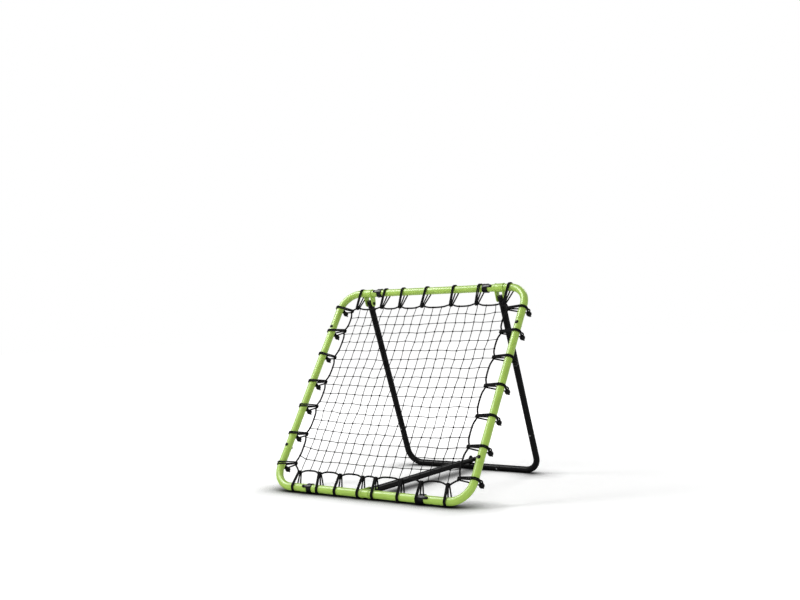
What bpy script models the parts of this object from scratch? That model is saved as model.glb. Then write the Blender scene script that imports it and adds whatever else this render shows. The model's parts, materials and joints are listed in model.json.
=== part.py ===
"""Multisport rebounder: a square tube frame leaning on a folding rear stand, with a net sprung into it.

Metres, Z up. X runs across the frame and Y from its front to its back. The origin is on the floor, in the
middle of the footprint. The frame is modelled flat in its own plane, X across, Y behind and Z up the slope,
and the stand about its hinge, and two empties then lean them.
"""
import math

import bmesh
import bpy
import numpy as np
from mathutils import Matrix, Vector

# Main frame
FRAME_WIDTH = 1.0                      # over the tubes
FRAME_HEIGHT = 1.0                     # over the tubes, up the slope
FRAME_LEAN = math.radians(33.4)        # from upright, in the steepest position
FRAME_TUBE = 0.032
FRAME_WALL = 0.0015
FRAME_BEND = 0.090                     # corner bends, on the centre line
RAIL_JOINT = 0.204                     # corner point to the joint in a rail
STILE_JOINT = 0.1605                   # corner point to the joint in a stile
SPIGOT_LENGTH = 0.045                  # swaged end inside the next tube

# Rear stand
STAND_TUBE = 0.028
STAND_WALL = 0.0015
STAND_BEND = 0.065
STAND_FOLDED_UP = 0.114                # bottom rail's centre line to the crossbar's, with the stand folded
STAND_JOINT_UP = 0.161                 # crossbar's centre line to the joint in a leg
STAND_JOINT_IN = 0.193                 # leg's centre line to the joint in the crossbar
LEG_CAP = 0.0304                       # diameter of the cap on a leg's upper end
LEG_CAP_LENGTH = 0.045

# Forks: pairs of cheeks welded to the tubes
CHEEK_THICKNESS = 0.004
HINGE_GAP = 0.032                      # between the cheeks that hold a leg
HINGE_FROM_CORNER = 0.137              # corner point to the middle of a hinge fork
HINGE_BACK = 0.034                     # hinge axis behind the top rail's centre line
HINGE_DOWN = 0.033                     # hinge axis down the slope from the top rail's centre line
HINGE_NOSE = 0.014                     # radius of the cheek round the hinge axis
ARM_GAP = 0.030                        # between the cheeks that hold the arm
ARM_NOSE = 0.013                       # radius of the cheeks round the arm's pivots
ARM_REAR_NOSE = 0.017
ARM_X = 0.009                          # middle of the arm, between two of the bottom loops
ARM_FRONT_BACK = 0.035                 # front pivot behind the bottom rail
ARM_FRONT_UP = 0.031                   # front pivot up the slope from the bottom rail
ARM_REAR_RISE = 0.030                  # rear pivot straight above the crossbar
SADDLE = 0.0025                        # sheet wrapped round the tube between two cheeks

# Telescopic arm
ARM_TUBE = 0.028
ARM_WALL = 0.0015
ARM_OUTER_LENGTH = 0.655               # front pivot to the outer tube's mouth
ARM_END = 0.014                        # tube past the pivot, at either end
INNER_TUBE = 0.0205
INNER_WALL = 0.0012
INNER_START = 0.080                    # front pivot to the inner tube's front end
STAND_TRAVEL = math.radians(39.5)      # stand's swing from the first to the last position
POSITIONS = 6
SHOULDER_LENGTH = 0.010                # full-bore shoulder on the inner tube's front end
BUSH_LENGTH = 0.020                    # guide bush inside the outer tube's mouth
BUSH_LIP = 0.003                       # and its lip outside it
BUTTON_FROM_START = 0.030              # inner tube's front end to the spring button
BUTTON_DIAMETER = 0.006
BUTTON_SUNK = 0.0010                   # button's tip under the outer tube's bore when it is pressed in
BUTTON_LENGTH = 0.009
BUTTON_FOOT = 0.0015                   # flange that keeps the button in the inner tube

# Fasteners
HINGE_BOLT = 0.008
HINGE_BOLT_HEAD = 0.015
STILE_BOLT = 0.006
STILE_BOLT_HEAD = 0.011
HEAD_HEIGHT = 0.004
COLLAR_LENGTH = 0.025
COLLAR_THICKNESS = 0.003
TONGUE_WIDTH = 0.012                   # tongue of a collar, on the tube's front towards the corner
TONGUE_LENGTH = 0.021
TONGUE_DEPTH = 0.008
TONGUE_SCREW = 0.011                   # diameter of the screw head on it

# Net, border rope and bungee loops
NET_CELLS = 17
NET_STRAND = 0.0022
ROPE_DIAMETER = 0.006
ROPE_SAG = 0.010                       # how far the rope runs in between two loops
CORD_DIAMETER = 0.005
CORD_PAIR = 1.8                        # width of the doubled cord in cord diameters
BALL_DIAMETER = 0.020
NODE_SLACK = 0.003                     # room between the rope and the loop that turns round it
ROPE_FLAT = 0.005                      # half of the rope's straight run through a loop beside a corner
ROPE_BENDS = (0.28, 0.72)              # where the rope's sag begins and ends between two loops
NODE_TURN = (0.25, math.pi / 2, math.pi - 0.25)   # angles at which a loop's cord turns round the rope

FIT = 0.0003                           # gap left where two pieces touch
EDGE = 0.0008                          # broken edges of turned pieces

FRAME_SIDES = 14                       # facets round a tube of the main frame
STAND_SIDES = 12                       # facets round a tube of the stand or the arm
BORE_SIDES = 6                         # facets round the bore of a bent tube
SMALL_SIDES = 8                        # facets round bolts and their holes
CORD_SIDES = 6
BEND_STEPS = 6

LOOP_SIDE = 0.968                      # centre line of the side that the loops' places are counted on
JOINT_ZONE = 0.060                     # loops nearer to a joint, or beyond it, keep to their corner

# Each loop: place on the tube and place on the border rope, as shares of half a side that is LOOP_SIDE long,
# measured from its middle, and the distance from the tube's centre line in to the border rope, in metres
LEFT_LOOPS = ((0.839, 0.806, 0.074), (0.576, 0.585, 0.074), (0.324, 0.298, 0.072), (0.031, 0.037, 0.072),
              (-0.225, -0.217, 0.073), (-0.504, -0.496, 0.074), (-0.802, -0.783, 0.074))
RIGHT_LOOPS = ((0.779, 0.779, 0.067), (0.543, 0.543, 0.068), (0.295, 0.295, 0.068), (0.025, 0.025, 0.068),
               (-0.256, -0.256, 0.067), (-0.529, -0.529, 0.067), (-0.804, -0.804, 0.067))
TOP_LOOPS = ((-0.787, -0.791, 0.077), (-0.508, -0.508, 0.076), (-0.308, -0.298, 0.077),
             (-0.043, -0.052, 0.078), (0.254, 0.260, 0.077), (0.521, 0.525, 0.076), (0.820, 0.806, 0.077))
BOTTOM_LOOPS = ((-0.756, -0.762, 0.065), (-0.488, -0.535, 0.066), (-0.293, -0.310, 0.066),
                (-0.052, -0.068, 0.065), (0.098, 0.066, 0.065), (0.353, 0.329, 0.065),
                (0.539, 0.520, 0.065), (0.806, 0.775, 0.065))

# Where a loop's ball lies against the tube: outward from the net, and behind the frame
LEFT_BALL = (-0.009, 0.034)
RIGHT_BALL = (0.011, 0.033)
TOP_BALL = (0.010, 0.030)
BOTTOM_BALL = (-0.014, 0.029)

FRAME_RADIUS = FRAME_TUBE / 2
STAND_RADIUS = STAND_TUBE / 2
CORD_RADIUS = CORD_DIAMETER / 2
BALL_RADIUS = BALL_DIAMETER / 2
ROPE_RADIUS = ROPE_DIAMETER / 2
HALF_WIDTH = FRAME_WIDTH / 2 - FRAME_RADIUS        # centre line of a stile
SLOPE_HEIGHT = FRAME_HEIGHT - FRAME_TUBE           # centre line of the top rail above the bottom rail's
HINGE_X = HALF_WIDTH - HINGE_FROM_CORNER
CORD_RING = FRAME_RADIUS + FIT + CORD_RADIUS       # cord's centre line round the frame tube
RAIL_HEIGHT = CORD_RING + CORD_RADIUS              # the bottom rail rests on the cords that pass under it

FINISHES = {
    "frame_green": ((0.344, 0.527, 0.115), 0.32, 0.0),
    "stand_black": ((0.012, 0.012, 0.013), 0.38, 0.0),
    "arm_black": ((0.015, 0.015, 0.016), 0.35, 0.0),
    "plastic_black": ((0.010, 0.010, 0.011), 0.25, 0.0),
    "bolt_black": ((0.020, 0.020, 0.022), 0.30, 0.6),
    "net_black": ((0.012, 0.012, 0.012), 0.80, 0.0),
    "cord_black": ((0.010, 0.010, 0.010), 0.75, 0.0),
}


def slope_to_world(behind, up):
    """World Y and Z of a point given behind the frame's plane and up its slope."""
    y = FRAME_Y + up * math.sin(FRAME_LEAN) + behind * math.cos(FRAME_LEAN)
    z = RAIL_HEIGHT + up * math.cos(FRAME_LEAN) - behind * math.sin(FRAME_LEAN)
    return Vector((0.0, y, z))


def stand_angle():
    """Angle of the legs from upright at which the crossbar lies on the floor."""
    hinge_height = RAIL_HEIGHT + HINGE_UP * math.cos(FRAME_LEAN) - HINGE_BACK * math.sin(FRAME_LEAN)
    return math.acos((hinge_height - STAND_RADIUS) / STAND_LEG)


HINGE_UP = SLOPE_HEIGHT - HINGE_DOWN
STAND_LEG = HINGE_UP - STAND_FOLDED_UP             # hinge to the crossbar's centre line
STAND_LEAN = stand_angle()
HINGE_REACH = HINGE_UP * math.sin(FRAME_LEAN) + HINGE_BACK * math.cos(FRAME_LEAN)
DEPTH = HINGE_REACH + STAND_LEG * math.sin(STAND_LEAN) + STAND_RADIUS + RAIL_HEIGHT
FRAME_Y = RAIL_HEIGHT - DEPTH / 2

HINGE = slope_to_world(HINGE_BACK, HINGE_UP)
CROSSBAR = HINGE + STAND_LEG * Vector((0.0, math.sin(STAND_LEAN), -math.cos(STAND_LEAN)))
ARM_FRONT = slope_to_world(ARM_FRONT_BACK, ARM_FRONT_UP)
ARM_REAR = CROSSBAR + Vector((0.0, 0.0, ARM_REAR_RISE))


def arm_at(swing):
    """Length of the arm between its pivots, and its angle above level, with the stand swung out."""
    reach = Matrix.Rotation(swing, 3, "X") @ (ARM_REAR - HINGE)
    arm = HINGE + reach - ARM_FRONT
    return arm.length, math.atan2(arm.z, arm.y)


ARM_LENGTH, ARM_RISE = arm_at(0.0)
ARM_LONGEST, ARM_RISE_LAST = arm_at(STAND_TRAVEL)
ARM_TRAVEL = ARM_LONGEST - ARM_LENGTH
HOLE_PITCH = ARM_TRAVEL / (POSITIONS - 1)
BUTTON_AT = INNER_START + BUTTON_FROM_START

for old in list(bpy.data.objects):
    bpy.data.objects.remove(old)
PARTS = bpy.data.collections.new("rebounder")
CUTTERS = bpy.data.collections.new("cutters")
for collection in (PARTS, CUTTERS):
    bpy.context.scene.collection.children.link(collection)


def clear_bore(radius, sides):
    """Corner radius of a faceted bore whose flats clear a round piece by FIT."""
    return (radius + FIT) / math.cos(math.pi / sides)


def clear_plug(bore, sides):
    """Radius of a round piece that clears the flats of a faceted bore by FIT."""
    return bore * math.cos(math.pi / sides) - FIT


def make_material(name, colour, roughness, metallic):
    """One Principled BSDF material."""
    material = bpy.data.materials.new(name)
    material.use_nodes = True
    shader = material.node_tree.nodes["Principled BSDF"]
    shader.inputs["Base Color"].default_value = (*colour, 1.0)
    shader.inputs["Roughness"].default_value = roughness
    shader.inputs["Metallic"].default_value = metallic
    return material


MATERIALS = {name: make_material(name, *values) for name, values in FINISHES.items()}


def add_empty(name, location, rotation):
    """An empty that carries the pieces of one body."""
    empty = bpy.data.objects.new(name, None)
    PARTS.objects.link(empty)
    empty.location = location
    empty.rotation_euler = rotation
    return empty


def add_object(name, mesh, parent, location=(0, 0, 0), rotation=(0, 0, 0), finish=None):
    """A mesh object: a part when it has a finish, a cutter or joined shape when it has none."""
    part = bpy.data.objects.new(name, mesh)
    (PARTS if finish else CUTTERS).objects.link(part)
    part.parent = parent
    part.location = location
    part.rotation_euler = rotation
    if finish:
        mesh.materials.append(MATERIALS[finish])
    else:
        part.hide_render = True
        part.display_type = "WIRE"
    return part


def boolean(part, operation, other):
    """Joins another object to a part, or cuts it out."""
    modifier = part.modifiers.new(f"{operation.lower()}_{other.name}", "BOOLEAN")
    modifier.operation = operation
    modifier.object = other
    modifier.solver = "EXACT"


def turned(name, profile, parent, sides, ring=False, **placing):
    """A turned piece about its local Z. The profile runs down the outside; a ring's profile closes."""
    mesh = bpy.data.meshes.new(name)
    edges = [(i, i + 1) for i in range(len(profile) - 1)]
    if ring:
        edges.append((len(profile) - 1, 0))
    mesh.from_pydata([(radius, 0.0, height) for radius, height in profile], edges, [])
    part = add_object(name, mesh, parent, **placing)
    screw = part.modifiers.new("screw", "SCREW")
    screw.steps = screw.render_steps = sides
    screw.use_merge_vertices = True
    screw.merge_threshold = 0.0001
    screw.use_smooth_shade = True
    return part


def mesh_from_curve(curve):
    """The curve's surface as a closed mesh, with its caps welded on."""
    guide = bpy.data.objects.new(curve.name, curve)
    bpy.context.scene.collection.objects.link(guide)
    evaluated = guide.evaluated_get(bpy.context.evaluated_depsgraph_get())
    mesh = bpy.data.meshes.new_from_object(evaluated)
    bpy.data.objects.remove(guide)
    shape = bmesh.new()
    shape.from_mesh(mesh)
    bmesh.ops.remove_doubles(shape, verts=shape.verts, dist=0.00001)
    bmesh.ops.recalc_face_normals(shape, faces=shape.faces)
    shape.to_mesh(mesh)
    shape.free()
    mesh.shade_smooth()
    mesh.set_sharp_from_angle(angle=math.radians(35))
    return mesh


def tube_mesh(name, points, radii, sides, cyclic=False):
    """A round bar along points, with its own radius at each of them."""
    curve = bpy.data.curves.new(name, "CURVE")
    curve.dimensions = "3D"
    curve.bevel_depth = 1.0
    curve.bevel_resolution = sides // 2 - 2
    curve.use_fill_caps = not cyclic
    spline = curve.splines.new("POLY")
    spline.points.add(len(points) - 1)
    for control, point, radius in zip(spline.points, points, radii):
        control.co = (*point, 1.0)
        control.radius = radius
    spline.use_cyclic_u = cyclic
    return mesh_from_curve(curve)


def plate_mesh(name, outline, thickness, middle):
    """A flat plate that stands across X, from an outline of (behind, up) points."""
    curve = bpy.data.curves.new(name, "CURVE")
    curve.dimensions = "2D"
    curve.fill_mode = "BOTH"
    curve.extrude = thickness / 2
    spline = curve.splines.new("POLY")
    spline.points.add(len(outline) - 1)
    for control, (behind, up) in zip(spline.points, outline):
        control.co = (behind, up, 0.0, 1.0)
    spline.use_cyclic_u = True
    mesh = mesh_from_curve(curve)
    turn = Matrix(((0, 0, 1, middle), (1, 0, 0, 0), (0, 1, 0, 0), (0, 0, 0, 1)))
    mesh.transform(turn)
    return mesh


def strap_outline(first, first_radius, second, second_radius, steps=6):
    """Outline of a strap with a round end about each of two points."""
    first, second = Vector(first), Vector(second)
    way = second - first
    heading = math.atan2(way.y, way.x)
    spread = math.acos((first_radius - second_radius) / way.length)
    outline = []
    for centre, radius, start, stop in (
        (first, first_radius, heading + spread, heading - spread + 2 * math.pi),
        (second, second_radius, heading - spread, heading + spread),
    ):
        for angle in np.linspace(start, stop, steps + 1):
            outline.append((centre.x + radius * math.cos(angle), centre.y + radius * math.sin(angle)))
    return outline


def across(name, radius, x_range, seat, parent, sides=SMALL_SIDES):
    """A round solid that runs along X, about a (behind, up) axis, for a Boolean."""
    low, high = x_range
    profile = [(0.0, high), (radius, high), (radius, low), (0.0, low)]
    return turned(name, profile, parent, sides, location=(0.0, *seat), rotation=(0, math.pi / 2, 0))


def add_fork(tube, name, parent, seat, seat_radius, pivot, nose, gap, middle):
    """Welds two cheeks to a tube that runs along X: seat and pivot are (behind, up) of tube and axis."""
    for side in (-1, 1):
        outline = strap_outline(seat, seat_radius, pivot, nose)
        centre = middle + side * (gap + CHEEK_THICKNESS) / 2
        cheek = plate_mesh(f"{name}_cheek", outline, CHEEK_THICKNESS, centre)
        boolean(tube, "UNION", add_object(f"{name}_cheek", cheek, parent))


def drill_across(part, name, parent, pivot, gap, middle):
    """Drills the hole for a pivot bolt along X, through a fork's cheeks or through a tube's end."""
    reach = gap / 2 + 2 * CHEEK_THICKNESS
    radius = clear_bore(HINGE_BOLT / 2, SMALL_SIDES)
    hole = across(f"{name}_hole", radius, (middle - reach, middle + reach), pivot, parent)
    boolean(part, "DIFFERENCE", hole)


def drill_stile_bolt(part, name, x, level):
    """Drills the hole for a bolt through a stile joint, from front to back."""
    radius = clear_bore(STILE_BOLT / 2, SMALL_SIDES)
    profile = [(0.0, FRAME_TUBE), (radius, FRAME_TUBE), (radius, -FRAME_TUBE), (0.0, -FRAME_TUBE)]
    drill = turned(f"{name}_bolt_hole", profile, FRAME, SMALL_SIDES, location=(x, 0.0, bolt_height(level)),
                   rotation=(math.pi / 2, 0, 0))
    boolean(part, "DIFFERENCE", drill)


def bolt_height(level):
    """Height up the slope of the bolts through the stile joints: half way along the spigot."""
    from_corner = STILE_JOINT + SPIGOT_LENGTH / 2
    return from_corner if level == "bottom" else SLOPE_HEIGHT - from_corner


def bolt_profile(diameter, head, reach):
    """Profile of a bolt with its head above reach and its nut below it, on its own axis."""
    shank = diameter / 2
    return [
        (0.0, reach + HEAD_HEIGHT),
        (head * 0.30, reach + HEAD_HEIGHT),
        (head * 0.50, reach + HEAD_HEIGHT * 0.45),
        (head * 0.50, reach + FIT),
        (shank, reach + FIT),
        (shank, -reach - FIT),
        (head * 0.45, -reach - FIT),
        (head * 0.45, -reach - HEAD_HEIGHT),
        (0.0, -reach - HEAD_HEIGHT),
    ]


FRAME = add_empty("frame_plane", (0.0, FRAME_Y, RAIL_HEIGHT), (-FRAME_LEAN, 0.0, 0.0))
STAND = add_empty("stand_hinge", HINGE, (STAND_LEAN, 0.0, 0.0))
ARM = add_empty("arm_front_pivot", (ARM_X, ARM_FRONT.y, ARM_FRONT.z), (ARM_RISE, 0.0, 0.0))


def bent_path(corner, rail_way, stile_way, bend, rail_reach, stile_reach):
    """Points round one bend in the XZ plane, from the rail's end to the stile's end."""
    corner = Vector((corner[0], 0.0, corner[1]))
    rail_way, stile_way = Vector(rail_way), Vector(stile_way)
    centre = corner + bend * (rail_way + stile_way)
    points = [corner + rail_way * reach for reach in rail_reach]
    for step in range(BEND_STEPS + 1):
        angle = math.pi / 2 * step / BEND_STEPS
        points.append(centre - bend * (stile_way * math.cos(angle) + rail_way * math.sin(angle)))
    points += [corner + stile_way * reach for reach in reversed(stile_reach)]
    return points


def bent_tube(name, parent, finish, corner, rail_way, stile_way, bend, joints, radius, wall, sides):
    """A bent tube with a swaged spigot at either end, and the cutter for its bore."""
    step = 0.0002
    spigot = clear_plug(radius - wall, sides)
    reaches = [(joint + SPIGOT_LENGTH, joint + step, joint) for joint in joints]
    points = bent_path(corner, rail_way, stile_way, bend, *reaches)
    bends = [radius] * (BEND_STEPS + 1)
    radii = [spigot, spigot, radius] + bends + [radius, spigot, spigot]
    tube = add_object(name, tube_mesh(name, points, radii, sides), parent, finish=finish)

    lead = 2 * wall
    reaches = [(joint + SPIGOT_LENGTH + lead, joint - lead, joint - 2 * lead) for joint in joints]
    points = bent_path(corner, rail_way, stile_way, bend, *reaches)
    bends = [radius - wall] * (BEND_STEPS + 1)
    neck = spigot - wall
    radii = [neck, neck, radius - wall] + bends + [radius - wall, neck, neck]
    bore = add_object(f"{name}_bore", tube_mesh(f"{name}_bore", points, radii, BORE_SIDES), parent)
    return tube, bore


def straight_tube(name, length, **placing):
    """A plain open tube of the main frame, centred on its own middle."""
    end, bore = length / 2, FRAME_RADIUS - FRAME_WALL
    profile = [(bore, end), (FRAME_RADIUS, end), (FRAME_RADIUS, -end), (bore, -end)]
    return turned(name, profile, FRAME, FRAME_SIDES, ring=True, finish="frame_green", **placing)


def build_corner_tubes():
    """The four bent corners of the main frame. The top two carry the forks of the stand's hinge."""
    for level, up_way, height in (("bottom", 1, 0.0), ("top", -1, SLOPE_HEIGHT)):
        for side, x_way in (("left", 1), ("right", -1)):
            name = f"{level}_{side}_corner_tube"
            x = -x_way * HALF_WIDTH
            tube, bore = bent_tube(name, FRAME, "frame_green", (x, height), (x_way, 0, 0), (0, 0, up_way),
                                   FRAME_BEND, (RAIL_JOINT, STILE_JOINT), FRAME_RADIUS, FRAME_WALL,
                                   FRAME_SIDES)
            if level == "top":
                add_hinge_fork(tube, name, -x_way * HINGE_X)
            boolean(tube, "DIFFERENCE", bore)
            drill_stile_bolt(tube, name, x, level)


def add_hinge_fork(tube, name, middle):
    """Wraps a saddle round a top corner tube and welds the two cheeks for a leg's bolt to it."""
    seat, pivot = (0.0, SLOPE_HEIGHT), (HINGE_BACK, HINGE_UP)
    half = (HINGE_GAP + CHEEK_THICKNESS) / 2
    radius = FRAME_RADIUS + SADDLE
    saddle = across(f"{name}_saddle", radius, (middle - half, middle + half), seat, FRAME, FRAME_SIDES)
    boolean(tube, "UNION", saddle)
    add_fork(tube, name, FRAME, seat, radius + EDGE, pivot, HINGE_NOSE, HINGE_GAP, middle)
    drill_across(tube, name, FRAME, pivot, HINGE_GAP, middle)


def build_rails_and_stiles():
    """The straight tubes between the corners. The bottom rail carries the arm's front fork."""
    rail = 2 * (HALF_WIDTH - RAIL_JOINT - 2 * FIT)
    straight_tube("top_rail", rail, location=(0, 0, SLOPE_HEIGHT), rotation=(0, math.pi / 2, 0))

    end = rail / 2
    profile = [(0.0, end), (FRAME_RADIUS, end), (FRAME_RADIUS, -end), (0.0, -end)]
    bottom = turned("bottom_rail", profile, FRAME, FRAME_SIDES, finish="frame_green",
                    rotation=(0, math.pi / 2, 0))
    pivot = (ARM_FRONT_BACK, ARM_FRONT_UP)
    add_fork(bottom, "arm_front", FRAME, (0.0, 0.0), FRAME_RADIUS + SADDLE, pivot, ARM_NOSE, ARM_GAP, ARM_X)
    drill_across(bottom, "arm_front", FRAME, pivot, ARM_GAP, ARM_X)
    bore = across("bottom_rail_bore", FRAME_RADIUS - FRAME_WALL, (-rail, rail), (0.0, 0.0), FRAME,
                  FRAME_SIDES)
    boolean(bottom, "DIFFERENCE", bore)

    stile = SLOPE_HEIGHT - 2 * (STILE_JOINT + 2 * FIT)
    for side, x in (("left", -HALF_WIDTH), ("right", HALF_WIDTH)):
        tube = straight_tube(f"{side}_stile", stile, location=(x, 0, SLOPE_HEIGHT / 2))
        for level in ("bottom", "top"):
            drill_stile_bolt(tube, f"{side}_stile_{level}", x, level)


def build_collars():
    """The clamp collars over the rail joints, each with a tongue and a screw towards the corner."""
    inner = clear_bore(FRAME_RADIUS, FRAME_SIDES)
    outer = inner + COLLAR_THICKNESS
    half = COLLAR_LENGTH / 2
    reach = half + TONGUE_LENGTH
    profile = [(inner, half), (outer - EDGE, half), (outer, half - EDGE), (outer, EDGE - half),
               (outer - EDGE, -half), (inner, -half)]
    rim, under = TONGUE_SCREW / 2, inner - EDGE
    screw_profile = [(0.0, outer + COLLAR_THICKNESS), (rim * 0.7, outer + COLLAR_THICKNESS), (rim, outer),
                     (rim, under), (0.0, under)]
    for level, height in (("bottom", 0.0), ("top", SLOPE_HEIGHT)):
        for side, way in (("left", -1), ("right", 1)):
            name = f"{level}_{side}_joint_collar"
            x = way * (HALF_WIDTH - RAIL_JOINT)
            collar = turned(name, profile, FRAME, FRAME_SIDES, ring=True, finish="plastic_black",
                            location=(x, 0, height), rotation=(0, math.pi / 2, 0))

            bpy.ops.mesh.primitive_cube_add(size=1.0)
            cube = bpy.context.active_object
            cube.data.transform(Matrix.Diagonal((reach, TONGUE_DEPTH, TONGUE_WIDTH, 1.0)))
            front = -outer + (TONGUE_DEPTH - EDGE) / 2
            place = (x + way * reach / 2, front, height)
            tongue = add_object(f"{name}_tongue", cube.data, FRAME, location=place)
            bpy.data.objects.remove(cube)
            boolean(collar, "UNION", tongue)
            screw = turned(f"{name}_screw", screw_profile, FRAME, SMALL_SIDES, rotation=(math.pi / 2, 0, 0),
                           location=(x + way * (reach - TONGUE_WIDTH / 2), 0.0, height))
            boolean(collar, "UNION", screw)
            past = reach + COLLAR_LENGTH
            seat = across(f"{name}_seat", inner + FIT / 3, (x - past, x + past), (0.0, height), FRAME,
                          FRAME_SIDES)
            boolean(collar, "DIFFERENCE", seat)


def build_bolts():
    """The bolts through the stile joints, the two hinge bolts and the arm's front bolt."""
    for level in ("bottom", "top"):
        for side, way in (("left", -1), ("right", 1)):
            profile = bolt_profile(STILE_BOLT, STILE_BOLT_HEAD, FRAME_RADIUS)
            turned(f"{level}_{side}_stile_bolt", profile, FRAME, SMALL_SIDES, finish="bolt_black",
                   location=(way * HALF_WIDTH, 0.0, bolt_height(level)), rotation=(math.pi / 2, 0, 0))
    for name, gap, place in (
        ("left_hinge_bolt", HINGE_GAP, (-HINGE_X, HINGE_BACK, HINGE_UP)),
        ("right_hinge_bolt", HINGE_GAP, (HINGE_X, HINGE_BACK, HINGE_UP)),
        ("arm_front_bolt", ARM_GAP, (ARM_X, ARM_FRONT_BACK, ARM_FRONT_UP)),
    ):
        profile = bolt_profile(HINGE_BOLT, HINGE_BOLT_HEAD, gap / 2 + CHEEK_THICKNESS)
        turned(name, profile, FRAME, SMALL_SIDES, finish="bolt_black", location=place,
               rotation=(0, math.pi / 2, 0))


SIDES = {
    "left": (LEFT_LOOPS, LEFT_BALL),
    "right": (RIGHT_LOOPS, RIGHT_BALL),
    "top": (TOP_LOOPS, TOP_BALL),
    "bottom": (BOTTOM_LOOPS, BOTTOM_BALL),
}
ARC_POINTS = 5                         # of a loop's route over the tube
FIRST_TURN_POINT = 1 + ARC_POINTS      # the ball, the arc, and then the turn round the rope


def along_side(side, share):
    """Distance from a side's middle to a place drawn on a side LOOP_SIDE long.

    A longer side spreads the places between its joints. Those near a joint or corner move with the corner.
    """
    upright = side in ("left", "right")
    half, joint = (SLOPE_HEIGHT / 2, STILE_JOINT) if upright else (HALF_WIDTH, RAIL_JOINT)
    drawn = share * LOOP_SIDE / 2
    growth = half - LOOP_SIDE / 2
    spread = LOOP_SIDE / 2 - joint - JOINT_ZONE
    return drawn + growth * max(-1.0, min(1.0, drawn / spread))


def side_point(side, along, outward, behind):
    """Point in the frame's plane axes: along a side from its middle, outward from its tube, behind it."""
    middle = SLOPE_HEIGHT / 2
    if side in ("left", "right"):
        way = -1 if side == "left" else 1
        return Vector((way * (HALF_WIDTH + outward), behind, middle + along))
    way = -1 if side == "bottom" else 1
    return Vector((along, behind, middle + way * (middle + outward)))


def loop_route(on_tube, on_rope, inset, ball):
    """A closed route as (along, outward, behind): ball, over the tube's front, round the rope, back."""
    node, seat = Vector((-inset, 0.0)), Vector(ball)
    leave = math.atan2(seat.y, seat.x) - math.acos(CORD_RING / seat.length)
    arrive = -math.pi + math.acos(CORD_RING / inset)
    ring = CORD_RING / math.cos((leave - arrive) / (ARC_POINTS - 1) / 2)
    turn = ROPE_RADIUS + FIT + CORD_RADIUS + NODE_SLACK
    route = [(on_tube, *seat)]
    for angle in np.linspace(leave, arrive, ARC_POINTS):
        route.append((on_tube, ring * math.cos(angle), ring * math.sin(angle)))
    for angle in NODE_TURN:
        route.append((on_rope, node.x - turn * math.sin(angle), node.y - turn * math.cos(angle)))
    return route


def build_loops():
    """The bungee loops, each a doubled cord drawn as one flat oval, with its ball."""
    for side, (loops, ball) in SIDES.items():
        for number, (on_tube, on_rope, inset) in enumerate(loops, 1):
            name = f"{side}_bungee_{number}"
            tube_place, rope_place = along_side(side, on_tube), along_side(side, on_rope)
            route = loop_route(tube_place, rope_place, inset, ball)
            points = [side_point(side, *place) for place in route]
            mesh = tube_mesh(name, points, [CORD_RADIUS] * len(points), CORD_SIDES, cyclic=True)
            widen_cord(mesh, points, side)
            flatten_on_floor(mesh)
            loop = add_object(name, mesh, FRAME, finish="cord_black")
            bpy.ops.mesh.primitive_uv_sphere_add(segments=6, ring_count=4, radius=BALL_RADIUS)
            sphere = bpy.context.active_object
            knob_place = side_point(side, tube_place, *ball)
            knob = add_object(f"{name}_ball", sphere.data, FRAME, location=knob_place)
            bpy.data.objects.remove(sphere)
            boolean(loop, "UNION", knob)


def widen_cord(mesh, points, side):
    """Spreads a cord to the width of its two strands, side by side on the tube and closing at the rope."""
    axis = 2 if side in ("left", "right") else 0
    for vertex in mesh.vertices:
        number = min(range(len(points)), key=lambda i: (points[i] - vertex.co).length)
        middle = points[number][axis]
        share = 1.0 if number >= FIRST_TURN_POINT else CORD_PAIR
        vertex.co[axis] = middle + (vertex.co[axis] - middle) * share


def flatten_on_floor(mesh):
    """Presses flat what a cord has below the floor, where the bottom rail's weight lies on it."""
    up = Vector((0.0, -math.sin(FRAME_LEAN), math.cos(FRAME_LEAN)))
    for vertex in mesh.vertices:
        sunk = RAIL_HEIGHT + vertex.co.dot(up)
        if sunk < 0:
            vertex.co -= sunk * up


def rope_nodes():
    """The rope's points inside each loop, anticlockwise from the front. Beside a corner it lies straight."""
    nodes = []
    for side, order in (("bottom", 1), ("right", -1), ("top", -1), ("left", 1)):
        loops = SIDES[side][0]
        ends = (loops[0][1], loops[-1][1])
        flat = order * ROPE_FLAT * (1 if side in ("bottom", "top") else -1)
        for _, on_rope, inset in loops[::order]:
            steps = (-flat, flat) if on_rope in ends else (0.0,)
            place = along_side(side, on_rope)
            nodes.append([side_point(side, place + step, -inset, 0.0) for step in steps])
    return nodes


def rope_route():
    """The border rope's points: it runs in between the loops, less so across a corner."""
    nodes = rope_nodes()
    centre = Vector((0.0, 0.0, SLOPE_HEIGHT / 2))
    route = []
    for node, after in zip(nodes, nodes[1:] + nodes[:1]):
        start, stop = node[-1], after[0]
        way = stop - start
        inward = Vector((-way.z, 0.0, way.x)).normalized()
        if inward.dot(centre - start) < 0:
            inward = -inward
        across_corner = abs(way.x) > ROPE_SAG * 2 and abs(way.z) > ROPE_SAG * 2
        sag = min(ROPE_SAG, 0.12 * way.length) * (0.3 if across_corner else 1.0)
        route += node + [start + way * share + inward * sag for share in ROPE_BENDS]
    return route


def rope_envelope(places, along, inward_of, low, cell):
    """The innermost reach of the rope beside each mesh line, on one side of the net."""
    margin = ROPE_RADIUS + NET_STRAND / 2 + FIT
    outermost = inward_of.min() if low else inward_of.max()
    beside = np.abs(inward_of - outermost) < 2 * cell
    reach = []
    for place in places:
        values = inward_of[beside & (np.abs(along - place) <= cell)]
        reach.append(values.max() + margin if low else values.min() - margin)
    return np.array(reach)


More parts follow.
